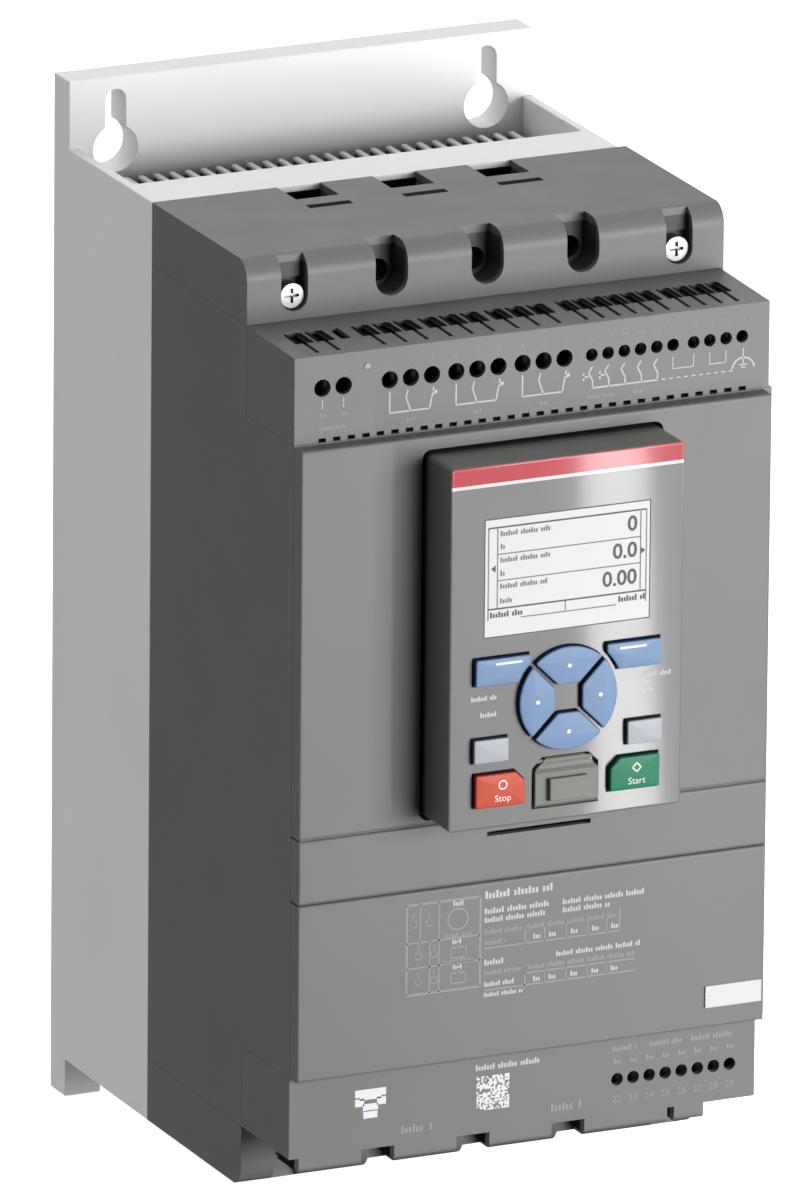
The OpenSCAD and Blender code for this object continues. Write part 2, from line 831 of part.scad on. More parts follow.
// Front covers: shallow trays on the front edges of the housing
module front_tray(z0, z1) {
    difference() {
        soft_block(-half_w, z0, half_w, z1, control_front_d, cover_front_d, cover_edge_r);
        slab(control_front_d - bite, cover_front_d - wall)
            box2(-inner_w / 2, z0 + bay_wall, inner_w / 2, z1 - wall);
    }
}

module keypad_outline(grow) {
    translate([keypad_x, keypad_mid_z])
        round_rect(keypad_w + 2 * grow, keypad_h + 2 * grow, keypad_edge_r + grow);
}

module upper_front_cover() {
    color(plastic) difference() {
        union() {
            front_tray(upper_bottom_z, cover_top_z);
            intersection() {
                slab(bay_floor_d - bay_wall, cover_front_d) keypad_outline(bay_gap + bay_wall);
                soft_block(-half_w, upper_bottom_z, half_w, cover_top_z, bay_floor_d - bay_wall,
                    cover_front_d, cover_edge_r);
            }
        }
        slab(bay_floor_d, cover_front_d + bite) keypad_outline(bay_gap);
        slab(bay_floor_d - bay_wall - bite, bay_floor_d + bite)
            plug_outline(socket_wall);
    }
}

// Tongue that closes a seam a little behind the front of the covers
module seam_tongue(z0, z1) {
    slab(control_front_d, cover_front_d - tongue_setback)
        box2(tongue_inset - half_w, z0, half_w - tongue_inset, z1);
}

module middle_front_cover() {
    color(plastic) difference() {
        union() {
            front_tray(middle_bottom_z, middle_top_z);
            seam_tongue(middle_top_z - bay_wall, middle_top_z + seam - tongue_gap);
            seam_tongue(middle_bottom_z - seam + tongue_gap, middle_bottom_z + bay_wall);
        }
        slab(cover_front_d - wall - bite, cover_front_d + bite)
            translate([keypad_x + pull_slit_x, middle_top_z - pull_slit_drop])
                square(pull_slit, center = true);
    }
}

module lower_front_cover() {
    color(plastic) front_tray(cover_bottom_z, lower_seam_z);
}

module marker_tag() {
    tag_right = half_w - tag_inset;
    tag_z = cover_bottom_z + tag_rise;
    color("white") slab(cover_front_d, cover_front_d + tag_t)
        box2(tag_right - tag_w, tag_z, tag_right, tag_z + tag_h);
}

// Thyristor modules, screwed to the heat sink
module thyristor_module(x) {
    color("#2a2c30") difference() {
        across(x - module_w / 2, x + module_w / 2) {
            box2(sink_d, module_bottom_z, sink_d + module_foot_d, module_top_z);
            box2(sink_d, module_bottom_z + module_foot_h, sink_d + module_d, module_top_z - module_foot_h);
        }
        for (z = [module_bottom_z + module_screw_inset, module_top_z - module_screw_inset])
            rod(x, z, sink_d - bite, sink_d + module_foot_d + bite, tap_r);
        slab(sink_d + module_d - module_groove[0], sink_d + module_d + bite)
            translate([x, (module_top_z + module_bottom_z) / 2])
                square([module_w + bite, module_groove[1]], center = true);
    }
}

module module_screw(x, z) {
    seat_d = sink_d + module_foot_d;
    difference() {
        union() {
            rod(x, z, sink_d - module_screw_grip, seat_d + bite, module_screw_r);
            rod(x, z, seat_d, seat_d + module_head_l, module_head_r);
        }
        slab(seat_d + module_hex_floor, seat_d + module_head_l + bite)
            translate([x, z]) circle(r = module_hex_r, $fn = 6);
    }
}

module module_screws() {
    color(steel) for (x = poles) {
        module_screw(x, module_bottom_z + module_screw_inset);
        module_screw(x, module_top_z - module_screw_inset);
    }
}

// Bypass contactor with its terminal towers
module bypass_contactor() {
    front_d = sink_d + contactor_d;
    color("#3b3d42") across(pole_x - contactor_w / 2, pole_x + contactor_w / 2) {
        box2(sink_d, contactor_bottom_z, front_d - contactor_step, contactor_top_z);
        box2(sink_d, contactor_bottom_z + contactor_step, front_d, contactor_top_z - contactor_step);
    }
}

// Copper bars from the line clamps to the modules
module line_busbars() {
    front = sink_d + module_d;
    color(copper) for (x = poles) across(x - bar_w / 2, x + bar_w / 2) {
        box2(bar_d, lead_z, bar_d + bar_t, high_z + cage_h - bar_stop);
        box2(bar_d, lead_z, front + bar_t, lead_z + bar_t);
        box2(front, module_top_z - module_foot_h - lead_overlap, front + bar_t, lead_z + bar_t);
    }
}

// Copper bars from the modules, past the contactor, to the load clamps
module load_busbars() {
    front = sink_d + module_d;
    exit_z = module_bottom_z + module_foot_h + lead_overlap;
    color(copper) for (x = poles) across(x - bar_w / 2, x + bar_w / 2) {
        box2(front, exit_z - lead_overlap + bar_t, front + bar_t, exit_z);
        box2(front, exit_z - lead_overlap + bar_t, run_d + bar_t, exit_z - lead_overlap + 2 * bar_t);
        box2(run_d, return_z, run_d + bar_t, exit_z - lead_overlap + 2 * bar_t);
        box2(bar_d, return_z, run_d + bar_t, return_z + bar_t);
        box2(bar_d, low_z - cage_h + bar_stop, bar_d + bar_t, return_z + bar_t);
    }
}

// Current transformers round the load bars
module current_transformers() {
    middle_d = run_d + bar_t / 2;
    color("#1f4f8a") for (x = poles) translate([0, 0, transformer_z]) linear_extrude(transformer_h)
        translate([x, -middle_d]) difference() {
            round_rect(transformer_w, transformer_d, transformer_corner_r);
            square([bar_w + 2 * clearance, bar_t + 2 * clearance], center = true);
        }
}

// Clamps: steel cages round the bar ends, with one screw each
module clamp(x) {
    inner_w_cage = bar_w + 2 * cage_fit;
    difference() {
        translate([x - inner_w_cage / 2 - cage_wall, -cage_front_d, high_z])
            cube([inner_w_cage + 2 * cage_wall, cage_front_d - cage_back_d, cage_h]);
        translate([x - inner_w_cage / 2, -(cage_front_d - cage_front_wall), high_z - bite])
            cube([inner_w_cage, cage_inner_d, cage_h + 2 * bite]);
        rod(x, drive_z, cage_front_d - cage_front_wall - bite, cage_front_d + bite, clamp_screw_r);
    }
}

module clamp_screw(x) {
    neck_d = cage_front_d + clamp_neck_l;
    difference() {
        union() {
            rod(x, drive_z, cage_front_d - cage_front_wall - clamp_reach, neck_d + bite,
                clamp_screw_r - clamp_screw_fit);
            rod(x, drive_z, neck_d, neck_d + clamp_head_l, clamp_head_r);
        }
        slab(neck_d + clamp_hex_floor, neck_d + clamp_head_l + bite)
            translate([x, drive_z]) circle(r = clamp_hex_r, $fn = 6);
    }
}

module line_clamps() { color(steel) for (x = poles) clamp(x); }
module load_clamps() { color(steel) at_bottom() for (x = poles) clamp(x); }
module line_clamp_screws() { color(steel) for (x = poles) clamp_screw(x); }
module load_clamp_screws() { color(steel) at_bottom() for (x = poles) clamp_screw(x); }

// Insulating sheets on the heat sink behind the clamps, seen through the cable entries
module clamp_sheets() {
    sheet_w = entry_w - 2 * sheet_fit;
    for (x = poles) slab(sink_d, sink_d + sheet_t)
        box2(x + entry_shift - sheet_w / 2, high_z, x + entry_shift + sheet_w / 2, top_z - sheet_lip);
}

module insulating_sheets() {
    color("#1a1a1a") {
        clamp_sheets();
        at_bottom() clamp_sheets();
    }
}

// Control board on the ledges of the housing
module control_board() {
    color(board_green) slab(board_d, board_d + board_t)
        box2(-board_w / 2, board_bottom_z, board_w / 2, board_top_z);
}

// Terminal block with a screw well and a wire entry for each pole; up is +1 where wires enter from above
module terminal_block(positions, pitch, well_r, z, up) {
    first = positions[0];
    last = positions[len(positions) - 1];
    low = up > 0 ? z - block_low : z - block_top;
    high = up > 0 ? z + block_top : z + block_low;
    difference() {
        slab(board_d + board_t, block_front_d)
            box2(first - pitch / 2 + block_fit, low, last + pitch / 2 - block_fit, high);
        for (x = positions) {
            rod(x, z, block_front_d - well_d, block_front_d + bite, well_r);
            translate([x - small_entry_w / 2, bite - entry_back_d - entry_l,
                up > 0 ? high - block_entry[1] : low - bite])
                cube([small_entry_w, block_entry[0], block_entry[1] + bite]);
        }
    }
}

module supply_terminal_block() {
    color("#2d2d2d") terminal_block(supply_x, large_pitch, large_well_r, terminal_z, 1);
}
module relay_terminal_blocks() {
    color("#2d2d2d") for (g = relay_groups)
        terminal_block([for (i = [0:2]) g + i * large_pitch], large_pitch, large_well_r, terminal_z, 1);
}
module input_terminal_blocks() {
    color("#2d2d2d") {
        terminal_block(input_x, small_pitch, small_well_r, terminal_z, 1);
        terminal_block(analog_x, small_pitch, small_well_r, terminal_z, 1);
    }
}
module lower_terminal_block() {
    color("#2d2d2d") terminal_block(lower_x, small_pitch, small_well_r, lower_terminal_z, -1);
}

// Slotted screws at the bottom of the terminal wells
module terminal_screw(x, z, r) {
    difference() {
        rod(x, z, block_front_d - well_d, block_front_d - well_d + well_screw_l, r);
        slab(block_front_d - well_d + well_screw_l - well_screw_slot[1], block_front_d)
            translate([x, z]) square([well_screw_slot[0], 3 * r], center = true);
    }
}

module control_terminal_screws() {
    color(steel) {
        for (x = large_x) terminal_screw(x, terminal_z, large_well_r - well_screw_gap);
        for (x = small_x) terminal_screw(x, terminal_z, small_well_r - well_screw_gap);
        for (x = lower_x) terminal_screw(x, lower_terminal_z, small_well_r - well_screw_gap);
    }
}

// Light guide of the status lamp, from the board to the cover
module status_led() {
    color("lightgreen") rod(led_x, led_z, board_d + board_t, control_front_d + led_proud,
        led_r - led_fit);
}

// Outline of the keypad's plug, grown by g
module plug_outline(g) {
    translate([keypad_x, keypad_mid_z]) square([plug_w + 2 * g, plug_h + 2 * g], center = true);
}

// Socket on the control board that the keypad plugs into
module keypad_socket() {
    color("#1c1c1c") difference() {
        slab(board_d + board_t, bay_floor_d - bay_wall - clearance) plug_outline(plug_gap + socket_wall);
        slab(board_d + board_t + socket_floor, bay_floor_d) plug_outline(plug_gap);
    }
}

// Key outlines, each grown by g on every side
module soft_key_outline(side, g) {
    x = keypad_x + side * soft_key_x;
    difference() {
        translate([x, soft_key_z]) square([soft_key_w + 2 * g, soft_key_h + 2 * g], center = true);
        translate([keypad_x, ring_z]) circle(soft_key_cut_r - g);
    }
}

// One quarter of the arrow ring; quarter 0 points up and the others follow anticlockwise
module arrow_key_outline(quarter, g) {
    reach = 2 * ring_r;
    inner = ring_inner - g;
    lead = ring_gap / sqrt(2) - g * (sqrt(2) - 1);
    translate([keypad_x, ring_z]) rotate(90 * quarter) intersection() {
        circle(ring_r + g);
        polygon([[lead - inner, inner], [inner - lead, inner], [reach - lead, reach], [lead - reach, reach]]);
    }
}

module side_key_outline(side, g) {
    translate([keypad_x + side * side_key_x, side_key_z])
        square([side_key_w + 2 * g, side_key_h + 2 * g], center = true);
}

// Stop and start keys, with the upper inner corner cut off
module run_key_outline(side, g) {
    w = run_key_w / 2 + g;
    h = run_key_h / 2 + g;
    c = run_key_cut + g * (2 - sqrt(2));
    translate([keypad_x + side * run_key_x, run_key_z]) mirror([side > 0 ? 1 : 0, 0])
        polygon([[-w, -h], [w, -h], [w, h - c], [w - c, h], [-w, h]]);
}

// Outline of the flap grown by g, with its upper corners cut off; room takes less off them
module flap_outline(g, room = 0) {
    w = flap_w / 2 + g;
    c = flap_cut + g * (2 - sqrt(2)) - room;
    bottom = flap_top_z - flap_h - g;
    translate([keypad_x, 0]) polygon([[-w, bottom], [w, bottom], [w, flap_top_z + g - c],
        [w - c, flap_top_z + g], [-w + c, flap_top_z + g], [-w, flap_top_z + g - c]]);
}

// All key outlines together
module all_keys(g) {
    for (side = [-1, 1]) {
        soft_key_outline(side, g);
        side_key_outline(side, g);
        run_key_outline(side, g);
    }
    for (q = [0:3]) arrow_key_outline(q, g);
}

// Keypad shells
module keypad_front_shell() {
    pocket_d_port = flap_hinge_d - flap_hinge_r - flap_gap;
    color("#7d7f7f") difference() {
        union() {
            difference() {
                intersection() {
                    slab(keypad_split_d, face_front_d) keypad_outline(0);
                    soft_block(keypad_x - keypad_w / 2, keypad_bottom_z, keypad_x + keypad_w / 2,
                        keypad_bottom_z + keypad_h, keypad_split_d, face_front_d, cover_edge_r);
                }
                slab(keypad_split_d - bite, face_front_d - shell_t) keypad_outline(wall_trim - shell_t);
            }
            slab(port_back_d, face_front_d) translate([keypad_x, flap_top_z - flap_h / 2])
                square([2 * (flap_pin_reach + flap_ear_t), flap_h + 2 * flap_gap + port_wall], center = true);
        }
        slab(face_front_d - shell_t - bite, face_front_d + bite)
            translate([keypad_x, window_z]) square([window_w, window_h], center = true);
        slab(face_front_d - shell_t - bite, face_front_d + bite) all_keys(key_clearance);
        slab(pocket_d_port, face_front_d + bite) flap_outline(flap_gap, flap_swing_room);
        across(keypad_x - flap_pin_reach - flap_pin_end, keypad_x + flap_pin_reach + flap_pin_end)
            translate([flap_hinge_d, flap_hinge_z]) circle(flap_pin_r + flap_pin_fit);
        slab(port_back_d - bite, pocket_d_port + bite) translate([keypad_x, flap_top_z - flap_h / 2])
            square([port_w + 2 * clearance, port_h + 2 * clearance], center = true);
    }
}

module keypad_back_shell() {
    color("#4a4b4b") {
        difference() {
            slab(keypad_back_d, keypad_split_d) keypad_outline(0);
            slab(keypad_back_d + shell_t, keypad_split_d + bite) keypad_outline(wall_trim - shell_t);
        }
        slab(keypad_back_d - plug_l, keypad_back_d + bite)
            plug_outline(0);
        for (sx = [-1, 1], sz = [-1, 1])
            rod(keypad_x + sx * (keypad_w / 2 - boss_inset), keypad_mid_z + sz * (keypad_h / 2 - boss_inset),
                keypad_back_d + bite, keypad_board_d, keypad_boss_r);
    }
}

module display_window() {
    color([0.93, 0.95, 0.95]) slab(face_front_d - shell_t, face_front_d) translate([keypad_x, window_z])
        square([window_w - 2 * window_fit, window_h - 2 * window_fit], center = true);
}

module display_panel() {
    color("#dfe4e2") slab(keypad_board_d + board_t, face_front_d - shell_t - clearance)
        translate([keypad_x, window_z])
            square([window_w + 2 * panel_margin, window_h + 2 * panel_margin - panel_trim], center = true);
}

module keypad_board() {
    color(board_green) slab(keypad_board_d, keypad_board_d + board_t) translate([keypad_x, keypad_mid_z])
        square([keypad_w - 2 * board_rim, keypad_h - 2 * board_rim], center = true);
}

// Rubber mat with one dome behind each key
function key_centres() = concat(
    [for (s = [-1, 1]) [s * soft_key_x, soft_key_z]],
    [for (s = [-1, 1]) [s * side_key_x, side_key_z]],
    [for (s = [-1, 1]) [s * run_key_x, run_key_z]],
    [for (q = [0:3]) [ring_dome * sin(-90 * q), ring_z + ring_dome * cos(90 * q)]]);

module key_mat() {
    mat_d = keypad_board_d + board_t;
    mat_top = soft_key_z + soft_key_h / 2;
    mat_bottom = run_key_z - run_key_h / 2;
    color("#303436") difference() {
        union() {
            slab(mat_d, mat_d + mat_t) translate([keypad_x, (mat_top + mat_bottom) / 2])
                square([keypad_w - 2 * mat_rim, mat_top - mat_bottom], center = true);
            for (c = key_centres())
                rod(keypad_x + c[0], c[1], mat_d, key_back_d - key_travel - clearance, dome_r);
        }
        slab(mat_d - bite, mat_d + mat_t + bite) translate([keypad_x, flap_top_z - flap_h / 2])
            square([port_w + 2 * port_mat_gap, port_h + 2 * port_mat_gap], center = true);
    }
}

module usb_socket() {
    color(steel) difference() {
        slab(keypad_board_d + board_t, flap_hinge_d - flap_hinge_r - flap_gap - port_setback)
            translate([keypad_x, flap_top_z - flap_h / 2]) square([port_w, port_h], center = true);
        slab(keypad_board_d + board_t + port_base_t, face_front_d)
            translate([keypad_x, flap_top_z - flap_h / 2])
            square([port_w - 2 * port_shell, port_h - 2 * port_shell], center = true);
    }
}

// Flap over the service port, hinged on two pins at its upper edge, with a grip at the lower one
module usb_flap() {
    front_d = face_front_d + flap_proud;
    pad_z = flap_top_z - flap_h + flap_pad_h / 2 + flap_pad_rise;
    bottom_z_flap = flap_top_z - flap_h;
    color("#55565a") {
        intersection() {
            slab(flap_hinge_d - flap_hinge_r, front_d) flap_outline(0);
            across(keypad_x - flap_w, keypad_x + flap_w) {
                translate([flap_hinge_d, flap_hinge_z]) circle(flap_hinge_r);
                polygon([[flap_hinge_d - flap_back, flap_hinge_z], [face_front_d, flap_hinge_z],
                    [face_front_d, flap_hinge_z - flap_lead[0]], [front_d, flap_hinge_z - flap_lead[1]],
                    [front_d, bottom_z_flap + flap_chamfer], [front_d - flap_chamfer, bottom_z_flap],
                    [flap_hinge_d - flap_back, bottom_z_flap]]);
            }
        }
        across(keypad_x - flap_pin_reach, keypad_x + flap_pin_reach)
            translate([flap_hinge_d, flap_hinge_z]) circle(flap_pin_r);
        slab(front_d - bite, front_d + flap_pad_proud)
            translate([keypad_x, pad_z]) square([flap_pad_w, flap_pad_h], center = true);
    }
}

// Keys: a cap through the face with a flange behind it; the two children are the cap and the grown outline
module key() {
    slab(key_back_d, face_front_d + key_proud) children(0);
    slab(key_back_d, key_back_d + flange_t) children(1);
}

module soft_key(side) {
    color(key_blue) key() { soft_key_outline(side, 0); soft_key_outline(side, flange); }
}
module arrow_key(quarter) {
    color(key_blue) key() { arrow_key_outline(quarter, 0); arrow_key_outline(quarter, ring_gap / 4); }
}
module side_key(side) {
    color("#c8ccd4") key() { side_key_outline(side, 0); side_key_outline(side, flange); }
}
module run_key(side, tint) {
    color(tint) key() { run_key_outline(side, 0); run_key_outline(side, flange); }
}

heat_sink();
fan_plate();
fan_frame(-fan_x);  // fan_frame_left
fan_frame(fan_x);  // fan_frame_right
fan_rotor(-fan_x);  // fan_rotor_left
fan_rotor(fan_x);  // fan_rotor_right
main_housing();
line_terminal_cover();
load_terminal_cover();
cover_screws();
control_cover_top();
control_cover_bottom();
upper_front_cover();
middle_front_cover();
lower_front_cover();
marker_tag();
thyristor_module(poles[0]);  // thyristor_module_1
thyristor_module(poles[1]);  // thyristor_module_2
thyristor_module(poles[2]);  // thyristor_module_3
module_screws();
bypass_contactor();
line_busbars();
load_busbars();
current_transformers();
line_clamps();
load_clamps();
line_clamp_screws();
load_clamp_screws();
insulating_sheets();
control_board();
supply_terminal_block();
relay_terminal_blocks();
input_terminal_blocks();
lower_terminal_block();
control_terminal_screws();
status_led();
keypad_socket();
keypad_front_shell();
keypad_back_shell();
display_window();
display_panel();
keypad_board();
key_mat();
usb_socket();
usb_flap();
soft_key(-1);  // soft_key_left
soft_key(1);  // soft_key_right
arrow_key(0);  // up_key
arrow_key(1);  // left_key
arrow_key(2);  // down_key
arrow_key(3);  // right_key
side_key(-1);  // local_key
side_key(1);  // info_key
run_key(-1, "#d9534a");  // stop_key
run_key(1, "#3fa27a");  // start_key
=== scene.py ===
# %% [markdown]
# # A soft starter, dressed for the studio
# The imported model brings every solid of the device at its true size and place. This lesson adds what a
# camera sees: finishes, softened edges, crowned keys, the display's picture and the printing on the covers.

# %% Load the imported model
import json
import math

import bmesh
import bpy
import numpy as np
from mathutils import Matrix, Quaternion, Vector


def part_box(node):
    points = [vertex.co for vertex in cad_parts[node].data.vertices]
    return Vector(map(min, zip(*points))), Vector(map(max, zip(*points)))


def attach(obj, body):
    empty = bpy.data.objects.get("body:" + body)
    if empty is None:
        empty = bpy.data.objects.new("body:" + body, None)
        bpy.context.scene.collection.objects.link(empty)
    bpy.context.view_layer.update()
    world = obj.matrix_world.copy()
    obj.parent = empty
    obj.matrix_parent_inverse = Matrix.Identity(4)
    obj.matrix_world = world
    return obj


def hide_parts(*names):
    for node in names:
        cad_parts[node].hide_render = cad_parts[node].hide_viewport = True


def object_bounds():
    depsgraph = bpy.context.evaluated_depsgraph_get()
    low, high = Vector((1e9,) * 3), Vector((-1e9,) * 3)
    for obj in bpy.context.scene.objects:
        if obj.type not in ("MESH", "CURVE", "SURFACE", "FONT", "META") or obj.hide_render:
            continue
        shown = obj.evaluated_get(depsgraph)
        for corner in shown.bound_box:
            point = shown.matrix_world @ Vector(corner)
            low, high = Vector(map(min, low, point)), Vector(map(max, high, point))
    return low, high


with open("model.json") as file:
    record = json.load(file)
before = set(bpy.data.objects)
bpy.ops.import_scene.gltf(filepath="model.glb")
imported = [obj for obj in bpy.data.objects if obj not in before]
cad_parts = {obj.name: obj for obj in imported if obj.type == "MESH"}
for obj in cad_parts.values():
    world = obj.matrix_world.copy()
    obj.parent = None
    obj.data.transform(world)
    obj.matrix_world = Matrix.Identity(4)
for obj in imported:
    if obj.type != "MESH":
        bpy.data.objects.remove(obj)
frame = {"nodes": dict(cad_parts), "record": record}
cad_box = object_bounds()
nodes = frame["nodes"]
print(len(nodes), "solids in", [[round(v, 4) for v in corner] for corner in cad_box])

# %% [markdown]
# ## Planes and places
# Printing and keys lie on a few flat faces. Their depths are read from the solids, so that nothing hangs in
# front of a face or sinks into it. Places on a face are given in millimetres, x to the right and z up.

# %% Depths of the faces, in metres
MM = 0.001


def corner_array(node):
    """Lowest and highest corner of a node at rest, as one array of two rows."""
    return np.array([list(corner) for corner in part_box(node)])


face_y = corner_array("keypad_front_shell")[0, 1]
window_y = corner_array("display_window")[0, 1]
key_front_y = corner_array("stop_key")[0, 1]
key_back_y = corner_array("stop_key")[1, 1]
cover_y = corner_array("lower_front_cover")[0, 1]
control_y = corner_array("control_cover_top")[0, 1]
keypad_low, keypad_high = corner_array("keypad_front_shell") / MM
keypad_x = (keypad_low[0] + keypad_high[0]) / 2
print(f"face {face_y:.4f}, keys {key_front_y:.4f}, covers {cover_y:.4f}, control {control_y:.4f} m")

# %% [markdown]
# ## Camera
# A product picture like this is taken from far away with a long lens, so upright edges stay nearly
# parallel. The camera stands on a sphere round the middle of the device, turned to the left and raised, and
# the aim is moved a little so that the device sits in the frame as it should, with no lens shift.

# %% Place the camera
VIEW_AZIMUTH, VIEW_ELEVATION, VIEW_ROLL = (math.radians(a) for a in (-24.776, 17.313, 0.518))
VIEW_DISTANCE = 6.358
FOCAL_LENGTH, SENSOR_WIDTH = 649.8, 36
FRAME_SHIFT = (-0.00479, 0.01213)
device_middle = Vector((0, -0.095, 0))

back = Vector((math.sin(VIEW_AZIMUTH) * math.cos(VIEW_ELEVATION),
               -math.cos(VIEW_AZIMUTH) * math.cos(VIEW_ELEVATION), math.sin(VIEW_ELEVATION)))
level = Vector((math.cos(VIEW_AZIMUTH), math.sin(VIEW_AZIMUTH), 0))
rise = back.cross(level)
right = math.cos(VIEW_ROLL) * level + math.sin(VIEW_ROLL) * rise
up = -math.sin(VIEW_ROLL) * level + math.cos(VIEW_ROLL) * rise
aim = device_middle + right * FRAME_SHIFT[0] + up * FRAME_SHIFT[1]

camera_data = bpy.data.cameras.new("camera")
camera_data.lens = FOCAL_LENGTH
camera_data.sensor_width = SENSOR_WIDTH
camera_data.clip_end = 100
camera = bpy.data.objects.new("camera", camera_data)
turned = Matrix((right, up, back)).transposed().to_4x4()
camera.matrix_world = Matrix.Translation(aim + back * VIEW_DISTANCE) @ turned
bpy.context.scene.collection.objects.link(camera)
bpy.context.scene.camera = camera
bpy.context.scene.view_settings.view_transform = "Standard"
print("camera at", [round(v, 3) for v in camera.matrix_world.translation])

# %% [markdown]
# ## Studio light
# A sky made of a few broad glows is smoother than lamps and has no noise, so it draws the top faces, the
# left side and the right. Each glow is strength times e to the power of k (cos g - 1), where g is the angle
# from its middle. The sky is endlessly far, so it lights a face evenly; the front gets a real lamp in the
# next step. The camera sees plain white instead of the glows.

# %% Glowing sky
GLOWS = (
    # azimuth from the front to the right and elevation in degrees, strength, sharpness k
    (25, 88, 1.4, 8),
    (170, 50, 2.7, 8),
    (155, 17, 0.82, 10),
    (-110, -15, 1.66, 6),
    (70, 0, 0.68, 8),
)
FILL = 0.003

world = bpy.data.worlds.new("studio")
world.use_nodes = True
bpy.context.scene.world = world
sky = world.node_tree
sky.nodes.clear()


def sky_node(kind, **settings):
    """Adds a node to the sky and sets its properties."""
    node = sky.nodes.new(kind)
    for name, value in settings.items():
        setattr(node, name, value)
    return node


def from_the_front(azimuth, elevation):
    """Unit vector towards a place on the sky, from its angles in degrees."""
    turn, rise = math.radians(azimuth), math.radians(elevation)
    return Vector((math.sin(turn) * math.cos(rise), -math.cos(turn) * math.cos(rise), math.sin(rise)))


direction = sky_node("ShaderNodeTexCoord").outputs["Generated"]
total = None
for azimuth, elevation, strength, sharpness in GLOWS:
    cosine = sky_node("ShaderNodeVectorMath", operation="DOT_PRODUCT")
    cosine.inputs[1].default_value = from_the_front(azimuth, elevation)
    sky.links.new(direction, cosine.inputs[0])
    fall = sky_node("ShaderNodeMath", operation="MULTIPLY_ADD")
    fall.inputs[1].default_value = sharpness
    fall.inputs[2].default_value = math.log(strength) - sharpness
    sky.links.new(cosine.outputs["Value"], fall.inputs[0])
    glow = sky_node("ShaderNodeMath", operation="EXPONENT")
    sky.links.new(fall.outputs[0], glow.inputs[0])
    added = sky_node("ShaderNodeMath", operation="ADD")
    added.inputs[1].default_value = FILL
    sky.links.new(glow.outputs[0], added.inputs[0])
    if total is not None:
        sky.links.new(total, added.inputs[1])
    total = added.outputs[0]
studio_light = sky_node("ShaderNodeBackground")
sky.links.new(total, studio_light.inputs["Strength"])
backdrop = sky_node("ShaderNodeBackground")
seen = sky_node("ShaderNodeLightPath")
choice = sky_node("ShaderNodeMixShader")
sky.links.new(seen.outputs["Is Camera Ray"], choice.inputs[0])
sky.links.new(studio_light.outputs[0], choice.inputs[1])
sky.links.new(backdrop.outputs[0], choice.inputs[2])
sky.links.new(choice.outputs[0], sky_node("ShaderNodeOutputWorld").inputs["Surface"])
print(len(GLOWS), "glows and a fill of", FILL)

# %% [markdown]
# ## Floor and lamps
# The floor is a wide white sheet at the lowest edge of the plate. It only shows itself: it throws no light
# back, so the left side of the device stays as dark as in a studio with black flags. A soft box stands near
# the front at the right: because it is near, the covers grow darker from right to left. It stands too high
# for the keypad to mirror it. A narrow upright lamp stands where the keypad does mirror it and draws the
# bright band down the glossy overlay.

# %% Floor and lamps
FLOOR_HALF, FLOOR_GAP, FLOOR_GLOW = 12.0, 0.0005, 0.93
BOX_ANGLES, BOX_REACH, BOX_SIZE, BOX_POWER = (25, 6), 1.3, (0.9, 0.6), 25.2
STRIP_ROLL, STRIP_REACH, STRIP_SIZE, STRIP_POWER = math.radians(2.6), 0.40, (0.020, 0.30), 0.50
GLARE_SHIFT, GLARE_HEIGHT = 0.0215, 0.035


def grid_faces(rows, columns, wrap=False):
    """Quads of a grid numbered row by row; each joins a point with the next in its row and the next row.
    With wrap, the last point of a row joins the first."""
    i, j = np.meshgrid(np.arange(rows - 1), np.arange(columns if wrap else columns - 1), indexing="ij")
    k = (j + 1) % columns
    row, after = i * columns, (i + 1) * columns
    return np.stack([row + j, row + k, after + k, after + j], -1).reshape(-1, 4)


def new_object(name, vertices, faces, material):
    """Mesh object at the origin from an array of points and lists of corner numbers."""
    mesh = bpy.data.meshes.new(name)
    mesh.from_pydata(np.asarray(vertices).reshape(-1, 3).tolist(), [], [list(f) for f in faces])
    mesh.materials.append(material)
    piece = bpy.data.objects.new(name, mesh)
    bpy.context.scene.collection.objects.link(piece)
    return piece


steps = np.linspace(-FLOOR_HALF, FLOOR_HALF, 3)
across, along = np.meshgrid(steps, steps)
floor_level = cad_box[0][2] - FLOOR_GAP
floor_points = np.stack([across, along, np.full_like(across, floor_level)], -1)
white = bpy.data.materials.new("studio_floor")
white.use_nodes = True
white_shader = white.node_tree.nodes["Principled BSDF"]
white_shader.inputs["Base Color"].default_value = (0.8, 0.8, 0.8, 1)
white_shader.inputs["Roughness"].default_value = 0.9
white_shader.inputs["Emission Color"].default_value = (1, 1, 1, 1)
white_shader.inputs["Emission Strength"].default_value = FLOOR_GLOW
floor = new_object("floor", floor_points, grid_faces(3, 3), white)
floor.visible_diffuse = floor.visible_glossy = floor.visible_shadow = False


def area_lamp(name, target, towards, reach, size, power, roll=0.0):
    """Rectangular lamp at target + reach times the unit vector towards, facing the target and unseen by the
    camera; roll turns it about that vector."""
    data = bpy.data.lights.new(name, "AREA")
    data.shape = "RECTANGLE"
    data.size, data.size_y = size
    data.energy = power
    lamp = bpy.data.objects.new(name, data)
    lamp.rotation_mode = "QUATERNION"
    lamp.rotation_quaternion = Quaternion(towards, roll) @ towards.to_track_quat("Z", "Y")
    lamp.location = target + towards * reach
    lamp.visible_camera = False
    bpy.context.scene.collection.objects.link(lamp)
    return [round(v, 3) for v in lamp.location]


